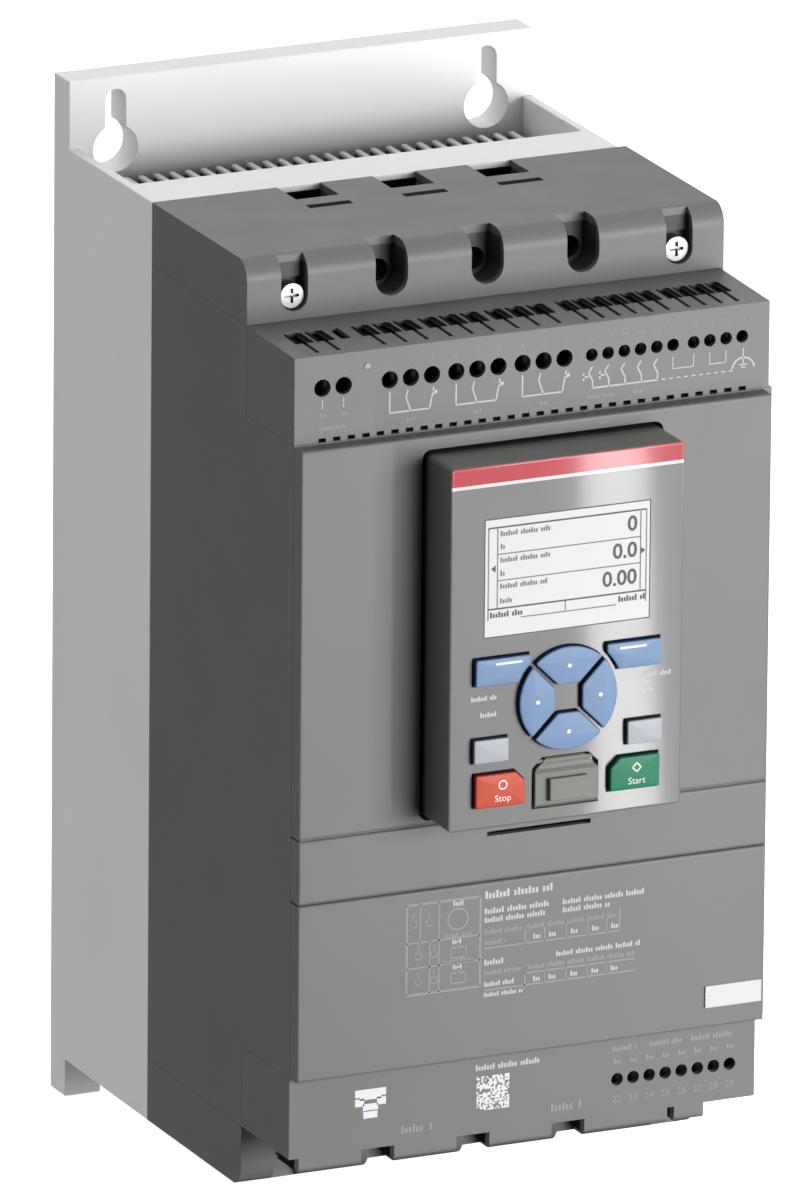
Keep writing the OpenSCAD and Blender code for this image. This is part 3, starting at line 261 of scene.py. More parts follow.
box_middle = Vector((0, -0.15, 0))
glare_middle = Vector((keypad_x * MM + GLARE_SHIFT, face_y, GLARE_HEIGHT))
mirrored = Vector((-back.x, back.y, -back.z))
soft_box = area_lamp("soft_box", box_middle, from_the_front(*BOX_ANGLES), BOX_REACH, BOX_SIZE, BOX_POWER)
strip_lamp = area_lamp("strip_lamp", glare_middle, mirrored, STRIP_REACH, STRIP_SIZE, STRIP_POWER,
                       STRIP_ROLL)
print("floor at", round(floor_level, 4), "soft box at", soft_box, "strip lamp at", strip_lamp)

# %% [markdown]
# ## Effects that finishes share
# Moulded plastic has a fine spark-eroded grain, extruded metal has lines along its length, and every
# surface is a little cloudy from handling. Each effect is a node group built once, with an input for its
# scale and, for the haze, two for its range, and each finish places it with its own values. All of them
# read Object coordinates, which stay with the piece.

# %% Node groups
NOISE_ROUGHNESS, NOISE_LOW, NOISE_HIGH, DRAWN_STRETCH = 0.55, 0.3, 0.7, 0.006


def effect(name, inputs, outputs):
    """Empty shader node group with float inputs (name, value) and float outputs."""
    group = bpy.data.node_groups.new(name, "ShaderNodeTree")
    for label, value in inputs:
        group.interface.new_socket(label, in_out="INPUT", socket_type="NodeSocketFloat").default_value = value
    for label in outputs:
        group.interface.new_socket(label, in_out="OUTPUT", socket_type="NodeSocketFloat")
    start = group.nodes.new("NodeGroupInput")
    end = group.nodes.new("NodeGroupOutput")
    place = group.nodes.new("ShaderNodeTexCoord").outputs["Object"]
    return group, start, end, place


def noise(tree, place, scale, detail):
    """Noise texture at a place; a socket gives its scale."""
    texture = tree.nodes.new("ShaderNodeTexNoise")
    texture.inputs["Detail"].default_value = detail
    texture.inputs["Roughness"].default_value = NOISE_ROUGHNESS
    tree.links.new(place, texture.inputs["Vector"])
    tree.links.new(scale, texture.inputs["Scale"])
    return texture.outputs[0]


def spread(tree, value, low, high):
    """Maps the middle of a noise to the range between two sockets."""
    remap = tree.nodes.new("ShaderNodeMapRange")
    remap.inputs["From Min"].default_value = NOISE_LOW
    remap.inputs["From Max"].default_value = NOISE_HIGH
    tree.links.new(value, remap.inputs["Value"])
    tree.links.new(low, remap.inputs["To Min"])
    tree.links.new(high, remap.inputs["To Max"])
    return remap.outputs["Result"]


grain, start, end, place = effect("moulded_grain", [("Cells per metre", 1500.0)], ["Height"])
grain.links.new(noise(grain, place, start.outputs[0], 3.0), end.inputs["Height"])

haze_inputs = [("Patches per metre", 22.0), ("Low", 0.4), ("High", 0.5)]
haze, start, end, place = effect("handling_haze", haze_inputs, ["Value"])
haze.links.new(spread(haze, noise(haze, place, start.outputs[0], 4.0), start.outputs[1], start.outputs[2]),
               end.inputs["Value"])

drawn, start, end, place = effect("drawn_lines", [("Lines per metre", 900.0)], ["Height"])
stretch = drawn.nodes.new("ShaderNodeMapping")
stretch.inputs["Scale"].default_value = (1, 1, DRAWN_STRETCH)
drawn.links.new(place, stretch.inputs["Vector"])
drawn.links.new(noise(drawn, stretch.outputs[0], start.outputs[0], 3.0), end.inputs["Height"])
print("effects:", [group.name for group in (grain, haze, drawn)])

# %% [markdown]
# ## A mask for the inside of a box
# Painted shade: hollows are made to look deep by darkening their walls. This group gives 1 where a point lies
# inside a box: its distance from the middle of the box, less half the size, is below zero on all three axes,
# and so is the largest of the three.

# %% Box mask
inside = bpy.data.node_groups.new("inside_box", "ShaderNodeTree")
for label in ("Middle", "Half"):
    inside.interface.new_socket(label, in_out="INPUT", socket_type="NodeSocketVector")
inside.interface.new_socket("Mask", in_out="OUTPUT", socket_type="NodeSocketFloat")
start, end = inside.nodes.new("NodeGroupInput"), inside.nodes.new("NodeGroupOutput")
reach = inside.nodes.new("ShaderNodeTexCoord").outputs["Object"]
operations = (("SUBTRACT", start.outputs["Middle"]), ("ABSOLUTE", None), ("SUBTRACT", start.outputs["Half"]))
for operation, other in operations:
    step = inside.nodes.new("ShaderNodeVectorMath")
    step.operation = operation
    inside.links.new(reach, step.inputs[0])
    if other is not None:
        inside.links.new(other, step.inputs[1])
    reach = step.outputs["Vector"]
axes = inside.nodes.new("ShaderNodeSeparateXYZ")
inside.links.new(reach, axes.inputs[0])
worst = axes.outputs[0]
for axis in (axes.outputs[1], axes.outputs[2]):
    larger = inside.nodes.new("ShaderNodeMath")
    larger.operation = "MAXIMUM"
    inside.links.new(worst, larger.inputs[0])
    inside.links.new(axis, larger.inputs[1])
    worst = larger.outputs[0]
within = inside.nodes.new("ShaderNodeMath")
within.operation = "LESS_THAN"
within.inputs[1].default_value = 0.0
inside.links.new(worst, within.inputs[0])
inside.links.new(within.outputs[0], end.inputs["Mask"])
print("box mask of", len(inside.nodes), "nodes")

# %% [markdown]
# ## Finishes
# A finish is a colour that the haze makes a little uneven, a roughness that a finer haze varies, and a bump
# from the grain or the drawn lines. One function serves plastics, rubber and metals; the numbers make the
# difference.

# %% Finish builder
WEAR, WEAR_PATCHES, BUMP_DEPTH = 0.08, 60.0, 0.0002


def place_effect(tree, group, **values):
    """Puts a node group into a tree and sets its inputs by name, with _ for a space."""
    node = tree.nodes.new("ShaderNodeGroup")
    node.node_tree = group
    for label, value in values.items():
        node.inputs[label.replace("_", " ")].default_value = value
    return node


def shaded(tree, colour, tone):
    """Colour (a tuple or a socket) whose brightness follows a tone socket."""
    node = tree.nodes.new("ShaderNodeHueSaturation")
    if isinstance(colour, tuple):
        node.inputs["Color"].default_value = (*colour, 1)
    else:
        tree.links.new(colour, node.inputs["Color"])
    tree.links.new(tone, node.inputs["Value"])
    return node.outputs["Color"]


def finish(name, colour, roughness, metallic=0.0, texture=grain, size=1500.0, bump=0.05, tone=0.04,
           specular=0.5, coat=0.0, coat_roughness=0.12):
    """Material with an uneven tone and roughness and a bump from a shared effect; colour may be a function
    that takes the node tree and gives a colour socket. Returns the material."""
    material = bpy.data.materials.new(name)
    material.use_nodes = True
    tree = material.node_tree
    shader = tree.nodes["Principled BSDF"]
    shader.inputs["Metallic"].default_value = metallic
    shader.inputs["Specular IOR Level"].default_value = specular
    shader.inputs["Coat Weight"].default_value = coat
    shader.inputs["Coat Roughness"].default_value = coat_roughness
    cloud = place_effect(tree, haze, Low=1 - tone, High=1 + tone)
    base = colour if isinstance(colour, tuple) else colour(tree)
    tree.links.new(shaded(tree, base, cloud.outputs[0]), shader.inputs["Base Color"])
    wear = place_effect(tree, haze, Patches_per_metre=WEAR_PATCHES, Low=roughness * (1 - WEAR),
                        High=roughness * (1 + WEAR))
    tree.links.new(wear.outputs[0], shader.inputs["Roughness"])
    relief = place_effect(tree, texture)
    relief.inputs[0].default_value = size
    raised = tree.nodes.new("ShaderNodeBump")
    raised.inputs["Strength"].default_value = bump
    raised.inputs["Distance"].default_value = BUMP_DEPTH
    tree.links.new(relief.outputs["Height"], raised.inputs["Height"])
    tree.links.new(raised.outputs["Normal"], shader.inputs["Normal"])
    return material


print("roughness varies by", WEAR, "of itself, in", WEAR_PATCHES, "patches per metre")

# %% [markdown]
# ## Colours that change with the place
# The keypad's shell is dark, and a printed overlay covers its face: grey, with a red band and a thin white
# line along the top. The overlay is as flat as the face, so the material chooses by depth and height. The
# keys work the same way: the crown has its own colour, and the skirt that shows in the gaps is much darker.
# Boxes pick out the front of the plate, the channels of the heat sink and the insides of the upper covers,
# where shade is painted.

# %% Colour fields chosen by place
# heights and depths in mm; boxes from their lowest to their highest corner
LINE_LOW, BAND_LOW, BAND_HIGH = 78.2, 79.2, 84.45
OVERLAY_DEPTH, CROWN_DEPTH = 0.25, 0.7
# painted shade: the front of the plate is a darker aluminium than its other faces
PLATE_FRONT_SHADE = (-74.9, -11.4, 100), (77.6, -10.6, 156.9)
# painted shade: the channels between the fins are nearly black
FIN_CHANNEL_SHADE = (-72, -51.3, -135), (72, -11.2, 125.4)
# painted shade: the insides of the two upper covers are dark
CONTROL_INSIDE_SHADE = (-72.8, -170.2, 91), (74, -138.8, 115.9)
LINE_INSIDE_SHADE = (-70, -136.3, 92), (70, -72.5, 133.8)


def step_mask(tree, axis, limit):
    """1 where an Object coordinate (0, 1, 2 for x, y, z) is above the limit, in metres."""
    place = tree.nodes.new("ShaderNodeTexCoord")
    parts = tree.nodes.new("ShaderNodeSeparateXYZ")
    tree.links.new(place.outputs["Object"], parts.inputs[0])
    test = tree.nodes.new("ShaderNodeMath")
    test.operation = "GREATER_THAN"
    test.inputs[1].default_value = limit
    tree.links.new(parts.outputs[axis], test.inputs[0])
    return test.outputs[0]


def field(tree, under, mask, colour):
    """Colour field: under (tuple or socket) where the mask is 0, colour where it is 1."""
    mix = tree.nodes.new("ShaderNodeMix")
    mix.data_type = "RGBA"
    tree.links.new(mask, mix.inputs["Factor"])
    if isinstance(under, tuple):
        mix.inputs["A"].default_value = (*under, 1)
    else:
        tree.links.new(under, mix.inputs["A"])
    mix.inputs["B"].default_value = (*colour, 1)
    return mix.outputs["Result"]


def overlay_colours(tree):
    """Grey overlay, then the white line and the red band over it, then the dark shell behind the face."""
    base = field(tree, (0.150, 0.151, 0.151), step_mask(tree, 2, LINE_LOW * MM), (0.55, 0.54, 0.53))
    base = field(tree, base, step_mask(tree, 2, BAND_LOW * MM), (0.36, 0.034, 0.045))
    base = field(tree, base, step_mask(tree, 2, BAND_HIGH * MM), (0.12, 0.12, 0.115))
    return field(tree, base, step_mask(tree, 1, face_y + OVERLAY_DEPTH * MM), (0.125, 0.125, 0.115))


def inside_mask(tree, low, high):
    """1 inside the box from low to high, in mm: where |p - middle| is below half the size on every axis."""
    low, high = np.array(low) * MM, np.array(high) * MM
    return place_effect(tree, inside, Middle=(low + high) / 2, Half=(high - low) / 2).outputs["Mask"]


def sink_colours_and_shade(tree):
    """Bright aluminium, painted shade on the plate's front, and darker painted shade in the channels between
    the fins, just under their tops.
    """
    bright = field(tree, (0.93, 0.93, 0.935), inside_mask(tree, *PLATE_FRONT_SHADE), (0.76, 0.76, 0.765))
    return field(tree, bright, inside_mask(tree, *FIN_CHANNEL_SHADE), (0.10, 0.10, 0.10))


def housing_colours_and_shade(tree):
    """Grey plastic, and painted shade on the insides of the two upper covers, so that their entries look
    deep.
    """
    outer = field(tree, (0.150, 0.150, 0.146), inside_mask(tree, *CONTROL_INSIDE_SHADE), (0.015, 0.015, 0.015))
    return field(tree, outer, inside_mask(tree, *LINE_INSIDE_SHADE), (0.05, 0.05, 0.049))


def key_colours(crown, skirt):
    """Colour function of a key: the crown's colour in front, the skirt's behind."""
    return lambda tree: field(tree, crown, step_mask(tree, 1, key_front_y + CROWN_DEPTH * MM), skirt)


print("red band", round(BAND_HIGH - BAND_LOW, 2), "mm high, white line", round(BAND_LOW - LINE_LOW, 2), "mm")

# %% [markdown]
# ## The finishes of this device
# The heat sink is extruded aluminium, the housing is moulded grey plastic, and a clear coat makes the
# keypad's overlay a glossy film. Each slot of the record has one finish, so one loop over the solids
# dresses them all.

# %% All finishes, by the record's slots
KEY_COLOURS = {
    # finish: crown, skirt
    "key_blue": ((0.134, 0.210, 0.340), (0.012, 0.025, 0.075)),
    "key_white": ((0.305, 0.323, 0.350), (0.04, 0.04, 0.05)),
    "key_red": ((0.41, 0.056, 0.026), (0.10, 0.012, 0.008)),
    "key_green": ((0.010, 0.145, 0.072), (0.004, 0.05, 0.025)),
}
finishes = {
    "aluminium": finish("satin_aluminium", sink_colours_and_shade, 0.50, 0.0, drawn, 900.0, 0.10, 0.02),
    "sheet_metal": finish("zinc_sheet", (0.55, 0.56, 0.57), 0.38, 0.9, grain, 700.0, 0.08),
    "fan_plastic": finish("fan_black", (0.022, 0.022, 0.023), 0.45),
    "housing_plastic": finish("housing_grey", housing_colours_and_shade, 0.42, bump=0.10, tone=0.02, specular=0.22),
    "screw_steel": finish("zinc_steel", (0.28, 0.28, 0.28), 0.34, 1.0, grain, 2500.0, 0.05),
    "module_plastic": finish("module_black", (0.030, 0.030, 0.034), 0.5),
    "copper": finish("tinned_copper", (0.74, 0.43, 0.29), 0.30, 1.0, drawn, 1200.0, 0.08),
    "coil_plastic": finish("coil_blue", (0.04, 0.09, 0.26), 0.42),
    "circuit_board": finish("board_green", (0.03, 0.13, 0.05), 0.35, size=400.0, bump=0.2, tone=0.15),
    "terminal_plastic": finish("terminal_black", (0.008, 0.008, 0.008), 0.6, specular=0.1),
    "lamp_lens": finish("lamp_lens", (0.24, 0.25, 0.24), 0.45),
    "tag_white": finish("tag_white", (0.50, 0.50, 0.495), 0.4, specular=0.3),
    "keypad_face": finish("keypad_overlay", overlay_colours, 0.42, bump=0.03, tone=0.015, specular=0.2,
                          coat=0.42, coat_roughness=0.07),
    "keypad_back": finish("keypad_dark", (0.05, 0.05, 0.047), 0.5, specular=0.3),
    "display": finish("display_glass", (0.51, 0.522, 0.520), 0.4, bump=0.0, tone=0.01, specular=0.15),
    **{name: finish(name, key_colours(*colours), 0.42, specular=0.2)
       for name, colours in KEY_COLOURS.items()},
    "port_rubber": finish("port_rubber", (0.15, 0.15, 0.14), 0.55, bump=0.15, specular=0.3),
    # near-black; the plates of painted shade in the last cell use this finish too
    "mat_rubber": finish("mat_rubber", (0.006, 0.006, 0.006), 0.7, specular=0.04),
}
ink_pale = finish("ink_pale", (0.43, 0.43, 0.425), 0.5, bump=0.0, specular=0.2)
ink_faint = finish("ink_faint", (0.235, 0.235, 0.23), 0.5, bump=0.0, specular=0.2)
ink_white = finish("ink_white", (0.60, 0.61, 0.62), 0.45, bump=0.0, specular=0.2)
ink_dark = finish("ink_dark", (0.09, 0.095, 0.095), 0.5, bump=0.0, specular=0.1)
ink_grey = finish("ink_grey", (0.17, 0.175, 0.175), 0.5, bump=0.0, specular=0.1)

slot_of = {part["node"]: part["material_slot"] for part in frame["record"]["subparts"]}
for name, node in nodes.items():
    node.data.materials.clear()
    node.data.materials.append(finishes[slot_of[name]])
print(len(finishes), "finishes on", len(nodes), "solids")

# %% [markdown]
# ## Softened edges
# No moulded, extruded or cut edge is perfectly sharp, and the thin highlight along a rounded edge is what
# makes a part look real. The solids arrive as loose triangles, so a copy is joined at its corners first.
# Long sharp edges get a bevel weight and a Bevel rounds them; short ones, round holes and slits, stay
# sharp. Narrow strips that bend softly into each other are a rounding, so they are shaded smooth; wide
# planes stay flat, or they would look dented.

# %% Soften the pieces that show
SOFT_EDGES = {
    # node: radius in mm
    "heat_sink": 0.3, "main_housing": 0.08, "line_terminal_cover": 0.12, "load_terminal_cover": 0.12,
    "control_cover_top": 0.12, "control_cover_bottom": 0.12, "upper_front_cover": 0.2,
    "middle_front_cover": 0.2, "lower_front_cover": 0.2, "marker_tag": 0.15, "keypad_front_shell": 0.2,
    "keypad_back_shell": 0.3, "usb_flap": 0.25, "cover_screws": 0.2, "fan_plate": 0.2,
    "fan_frame_left": 0.2, "fan_frame_right": 0.2,
}
SHARP_ANGLE, SOFT_ANGLE, LONG_EDGE, STRIP_WIDTH = math.radians(35), math.radians(0.4), 0.004, 0.0022
JOIN_DISTANCE, SAME_NORMAL, SAME_HEIGHT = 2e-6, 1 / 500, 5e-6
body_of = {name: body for body, names in frame["record"]["behaviour"]["bodies"].items() for name in names}


def rounded_strips(mesh, bends):
    """True for triangles of a rounding: triangles in one plane are a group, the group's width is its area
    over its reach, and a group that is narrow and bends softly into a neighbour is a strip of a rounding."""
    count = len(mesh.polygons)
    normal, area, place = np.empty(3 * count), np.empty(count), np.empty(3 * len(mesh.vertices))
    corners = np.empty(3 * count, int)
    mesh.polygons.foreach_get("normal", normal)
    mesh.polygons.foreach_get("area", area)
    mesh.vertices.foreach_get("co", place)
    mesh.loops.foreach_get("vertex_index", corners)
    normal, corner = normal.reshape(-1, 3), place.reshape(-1, 3)[corners].reshape(-1, 3, 3)
    height = np.sum(normal * corner[:, 0], 1)
    plane = np.round(np.column_stack([normal / SAME_NORMAL, height / SAME_HEIGHT]))
    groups, group = np.unique(plane, axis=0, return_inverse=True)
    group = group.ravel()
    low, high = np.full((len(groups), 3), np.inf), np.full((len(groups), 3), -np.inf)
    np.minimum.at(low, group, corner.min(1))
    np.maximum.at(high, group, corner.max(1))
    width = np.bincount(group, area) / np.linalg.norm(high - low, axis=1)
    soft = np.bincount(group, np.isin(np.arange(count), bends)) > 0
    return (soft & (width < STRIP_WIDTH))[group]


def soften(name, radius):
    """Copy of a node whose long sharp edges are rounded by a Bevel. Returns how many."""
    mesh = nodes[name].data.copy()
    work = bmesh.new()
    work.from_mesh(mesh)
    bmesh.ops.remove_doubles(work, verts=work.verts, dist=JOIN_DISTANCE)
    work.faces.index_update()
    bend = np.array([edge.calc_face_angle() if edge.is_manifold else 0.0 for edge in work.edges])
    length = np.array([edge.calc_length() for edge in work.edges])
    gentle = (bend > SOFT_ANGLE) & (bend < SHARP_ANGLE)
    bends = [face.index for edge, yes in zip(work.edges, gentle) if yes for face in edge.link_faces]
    work.to_mesh(mesh)
    work.free()
    rounded = (bend > SHARP_ANGLE) & (length > LONG_EDGE)
    weight = mesh.attributes.new("bevel_weight_edge", "FLOAT", "EDGE")
    weight.data.foreach_set("value", rounded.astype(np.float32))
    mesh.polygons.foreach_set("use_smooth", rounded_strips(mesh, bends))
    mesh.edges.foreach_set("use_edge_sharp", (bend > SHARP_ANGLE) & ~rounded)
    piece = bpy.data.objects.new(name + "_softened", mesh)
    bpy.context.scene.collection.objects.link(piece)
    bevel = piece.modifiers.new("round_edges", "BEVEL")
    bevel.width = radius * MM
    bevel.segments = 2
    bevel.limit_method = "WEIGHT"
    bevel.loop_slide = False
    bevel.use_clamp_overlap = False
    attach(piece, body_of[name])
    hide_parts(name)
    return int(rounded.sum())


for name, radius in SOFT_EDGES.items():
    print(name, soften(name, radius), "edges rounded")

# %% [markdown]
# ## Crowned keys
# Each key cap is a prism with a rounded rim and a slightly domed top. Its outline runs round the key and
# its profile runs from the flange behind the face, up the skirt, over the rim and in to the middle of the
# crown: a grid of two parameters. Rim rings follow the outline's own normals, and crown rings shrink
# towards the middle.

# %% Outlines and caps
FLANGE, RING_FLANGE, FLANGE_DEPTH, RIM_RADIUS, CROWN = 0.9, 0.325, 1.5, 0.5, 0.28
RIM_RINGS, CROWN_RINGS, CAP_SHARP, POLE_DISTANCE = 7, 9, math.radians(50), 1e-7


def round_corner(before, corner, after, reach, count=7):
    """Quadratic curve from the side before the corner, a distance reach off it, to the side after it."""
    before, corner, after = (np.asarray(p, float) for p in (before, corner, after))
    start = corner + (before - corner) / np.linalg.norm(before - corner) * reach
    end = corner + (after - corner) / np.linalg.norm(after - corner) * reach
    s = np.linspace(0, 1, count)[:, None]
    return (1 - s) ** 2 * start + 2 * s * (1 - s) * corner + s ** 2 * end


def round_polygon(points, reach):
    """Closed outline through straight sides, every corner rounded by the same reach."""
    around = zip(points[-1:] + points[:-1], points, points[1:] + points[:1])
    return np.concatenate([round_corner(*three, reach) for three in around])


def arc(radius, start, stop, count=25):
    """Points on a circle about the origin between two angles in degrees."""
    angle = np.radians(np.linspace(start, stop, count))
    return radius * np.stack([np.cos(angle), np.sin(angle)], -1)


def key_cap(name, outline, flange=FLANGE):
    """Key cap over a closed outline (x and z in mm, anticlockwise): point = middle + s (p + d n - middle),
    where s shrinks the crown's rings, d is the offset along the outline's normal n, and y follows the
    profile."""
    tangent = np.roll(outline, -1, 0) - np.roll(outline, 1, 0)
    normal = np.stack([tangent[:, 1], -tangent[:, 0]], -1) / np.linalg.norm(tangent, axis=1, keepdims=True)
    middle = outline.mean(0)
    front, rear = key_front_y / MM + CROWN, key_back_y / MM
    turn = np.radians(np.linspace(0, 90, RIM_RINGS))
    shrink = np.linspace(1, 0, CROWN_RINGS + 1)[1:]
    scale = np.concatenate([[0, 1, 1, 1], np.ones(RIM_RINGS), shrink])
    offset = np.concatenate([[flange, flange, flange, 0], -RIM_RADIUS * (1 - np.cos(turn)),
                             np.full(CROWN_RINGS, -RIM_RADIUS)])
    depth = np.concatenate([[rear, rear, rear - FLANGE_DEPTH, rear - FLANGE_DEPTH],
                            front + RIM_RADIUS * (1 - np.sin(turn)), front - CROWN * (1 - shrink ** 2)])
    flat = middle + scale[:, None, None] * (outline + offset[:, None, None] * normal - middle)
    points = np.stack([flat[..., 0], np.broadcast_to(depth[:, None], flat.shape[:2]), flat[..., 1]], -1) * MM
    cap = new_object(name + "_cap", points, grid_faces(*points.shape[:2], wrap=True), finishes[slot_of[name]])
    work = bmesh.new()
    work.from_mesh(cap.data)
    bmesh.ops.remove_doubles(work, verts=work.verts, dist=POLE_DISTANCE)
    bmesh.ops.recalc_face_normals(work, faces=work.faces)
    work.to_mesh(cap.data)
    work.free()
    cap.data.polygons.foreach_set("use_smooth", np.ones(len(cap.data.polygons), bool))
    cap.data.set_sharp_from_angle(angle=CAP_SHARP)
    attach(cap, name)
    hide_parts(name)


def key_box(name):
    """Left, bottom, right and top of a key's cap in mm, which is its node's box less the flange."""
    low, high = corner_array(name) / MM
    return low[0] + FLANGE, low[2] + FLANGE, high[0] - FLANGE, high[2] - FLANGE


print("key caps", round((key_back_y - key_front_y) / MM, 2), "mm deep")

# %% [markdown]
# ## The ring of arrow keys
# Four equal keys stand in a ring, with straight gaps between them. One quarter is drawn with rounded
# corners and turned by right angles, which is simpler than four outlines and keeps the keys alike.

# %% Ring of arrow keys
RING_RADIUS, RING_GAP, RING_INNER = 15.6, 1.3, 4.4
ring_z = (corner_array("up_key")[1, 2] + corner_array("down_key")[0, 2]) / 2 / MM
ring_middle = np.array([keypad_x, ring_z])
lead = RING_GAP / math.sqrt(2)
side_top = (lead + math.sqrt(2 * RING_RADIUS ** 2 - lead ** 2)) / 2
open_angle = math.degrees(math.atan2(side_top, side_top - lead))
half_inner = RING_INNER - lead
rim = arc(RING_RADIUS, open_angle + 3, 177 - open_angle)
quarter = np.concatenate([
    round_corner((-half_inner, RING_INNER), (half_inner, RING_INNER), rim[0], 0.8),
    round_corner((half_inner, RING_INNER), (side_top - lead, side_top), rim[0], 0.7), rim,
    round_corner(rim[-1], (lead - side_top, side_top), (-half_inner, RING_INNER), 0.7),
    round_corner(rim[-1], (-half_inner, RING_INNER), (half_inner, RING_INNER), 0.8)])
for turns, name in enumerate(("up_key", "left_key", "down_key", "right_key")):
    c, s = round(math.cos(turns * math.pi / 2)), round(math.sin(turns * math.pi / 2))
    key_cap(name, quarter @ np.array([[c, s], [-s, c]]) + ring_middle, RING_FLANGE)
print("arrow ring about", ring_middle.round(2))

# %% [markdown]
# ## The other keys
# The soft keys are scooped out round the ring, so their inner side is an arc about its middle. Stop and
# start have a cut corner. A mirrored outline would run clockwise, so its points are taken in reverse.

# %% Soft keys, pale keys, stop and start
SOFT_KEY_WIDTH, SOFT_KEY_CLEAR, RUN_KEY_CUT = 17.4, 1.7, 3.0
_, bottom, far, top = key_box("soft_key_right")
left = far - SOFT_KEY_WIDTH
clear = RING_RADIUS + SOFT_KEY_CLEAR
low_angle = math.degrees(math.asin((bottom - ring_z) / clear))
high_angle = math.degrees(math.acos((left - keypad_x) / clear))
scoop = arc(clear, high_angle - 2, low_angle + 2, 15) + ring_middle
scoop_low = (keypad_x + clear * math.cos(math.radians(low_angle)), bottom)
scoop_high = (left, ring_z + clear * math.sin(math.radians(high_angle)))
soft_right = np.concatenate([
    round_corner(scoop[-1], scoop_low, (far, bottom), 0.5),
    round_corner((left, bottom), (far, bottom), (far, top), 0.8),
    round_corner((far, bottom), (far, top), (left, top), 0.8),
    round_corner((far, top), (left, top), (left, bottom), 0.8),
    round_corner((left, top), scoop_high, scoop[0], 0.5), scoop])
key_cap("soft_key_right", soft_right)
key_cap("soft_key_left", (soft_right * [-1, 1] + [2 * keypad_x, 0])[::-1])
for name in ("local_key", "info_key"):
    left, bottom, far, top = key_box(name)
    key_cap(name, round_polygon([(left, bottom), (far, bottom), (far, top), (left, top)], 0.7))
left, bottom, far, top = key_box("stop_key")
stop_outline = round_polygon([(left, bottom), (far, bottom), (far, top - RUN_KEY_CUT),
                              (far - RUN_KEY_CUT, top), (left, top)], 0.8)
key_cap("stop_key", stop_outline)
key_cap("start_key", (stop_outline * [-1, 1] + [2 * keypad_x, 0])[::-1])

# %% [markdown]
# ## Printing
# Ink stands a few hundredths of a millimetre off the plastic. Every mark here is a flat shape, carried back
# to a closed plate just thicker than the ink: bars for lines and words, discs for dots, and letters from
# Blender's own font. The marks of one ink on a cover or a key are one mesh, made from arrays of corners.

# %% Flat shapes and how they become ink
INK = 0.05
STROKE_PITCH, STROKE_WIDTH, STROKE_LOW, LETTERS = 0.5, 0.7, 0.70, 8
FONT_DIGIT = 0.729


def bars(segments, width):
    """Bars from rows of x0, z0, x1, z1: the corners lie half the width to each side of the line."""
    ends = np.asarray(segments, float).reshape(-1, 2, 2)
    run = ends[:, 1] - ends[:, 0]
    side = np.stack([-run[:, 1], run[:, 0]], -1) / np.linalg.norm(run, axis=1, keepdims=True) * width / 2
    return np.stack([ends[:, 0] - side, ends[:, 1] - side, ends[:, 1] + side, ends[:, 0] + side], 1)


def path(points, width):
    """Bars along an open chain of points."""
    points = np.asarray(points, float)
    return bars(np.concatenate([points[:-1], points[1:]], 1), width)


def frame_bars(x0, z0, x1, z1, width):
    """Bars round a rectangle."""
    return path([(x0, z0), (x1, z0), (x1, z1), (x0, z1), (x0, z0)], width)


def discs(centres, radius, count=18):
    """Round dots about the given centres."""
    return np.asarray(centres, float).reshape(-1, 1, 2) + arc(radius, 0, 360 * (1 - 1 / count), count)


def word(x0, x1, z, height):
    """Row of upright strokes that reads as small print from a distance and as nothing from close by."""
    pitch = height * STROKE_PITCH
    x = np.arange(x0, x1 - pitch / 2, pitch) + pitch / 2
    i = np.arange(len(x))
    inked = i % LETTERS != LETTERS - 1
    x, i = x[inked], i[inked]
    tall = height * np.where(i % 3 == 0, 1.0, STROKE_LOW)
    foot = np.full(len(x), z - height / 2)
    return bars(np.stack([x, foot, x, foot + tall], -1), pitch * STROKE_WIDTH)


def lettering(text, x, z, height, align="CENTER", bold=0.0):
    """Triangles of a text in Blender's own font, as flat shapes of three corners; height is that of a digit
    and bold widens every stroke to both sides."""
    curve = bpy.data.curves.new("lettering", "FONT")
    curve.body, curve.size, curve.align_x = text, height / FONT_DIGIT, align
    curve.align_y = "CENTER"
    curve.resolution_u = 3
    curve.offset = bold
    letters = bpy.data.objects.new("lettering", curve)
    mesh = letters.to_mesh()
    mesh.calc_loop_triangles()
    points = np.empty(len(mesh.vertices) * 3)
    mesh.vertices.foreach_get("co", points)
    corners = np.empty(len(mesh.loop_triangles) * 3, int)
    mesh.loop_triangles.foreach_get("vertices", corners)
    shapes = points.reshape(-1, 3)[corners].reshape(-1, 3, 3)[..., :2] + [x, z]
    letters.to_mesh_clear()
    bpy.data.objects.remove(letters)
    bpy.data.curves.remove(curve)
    return shapes


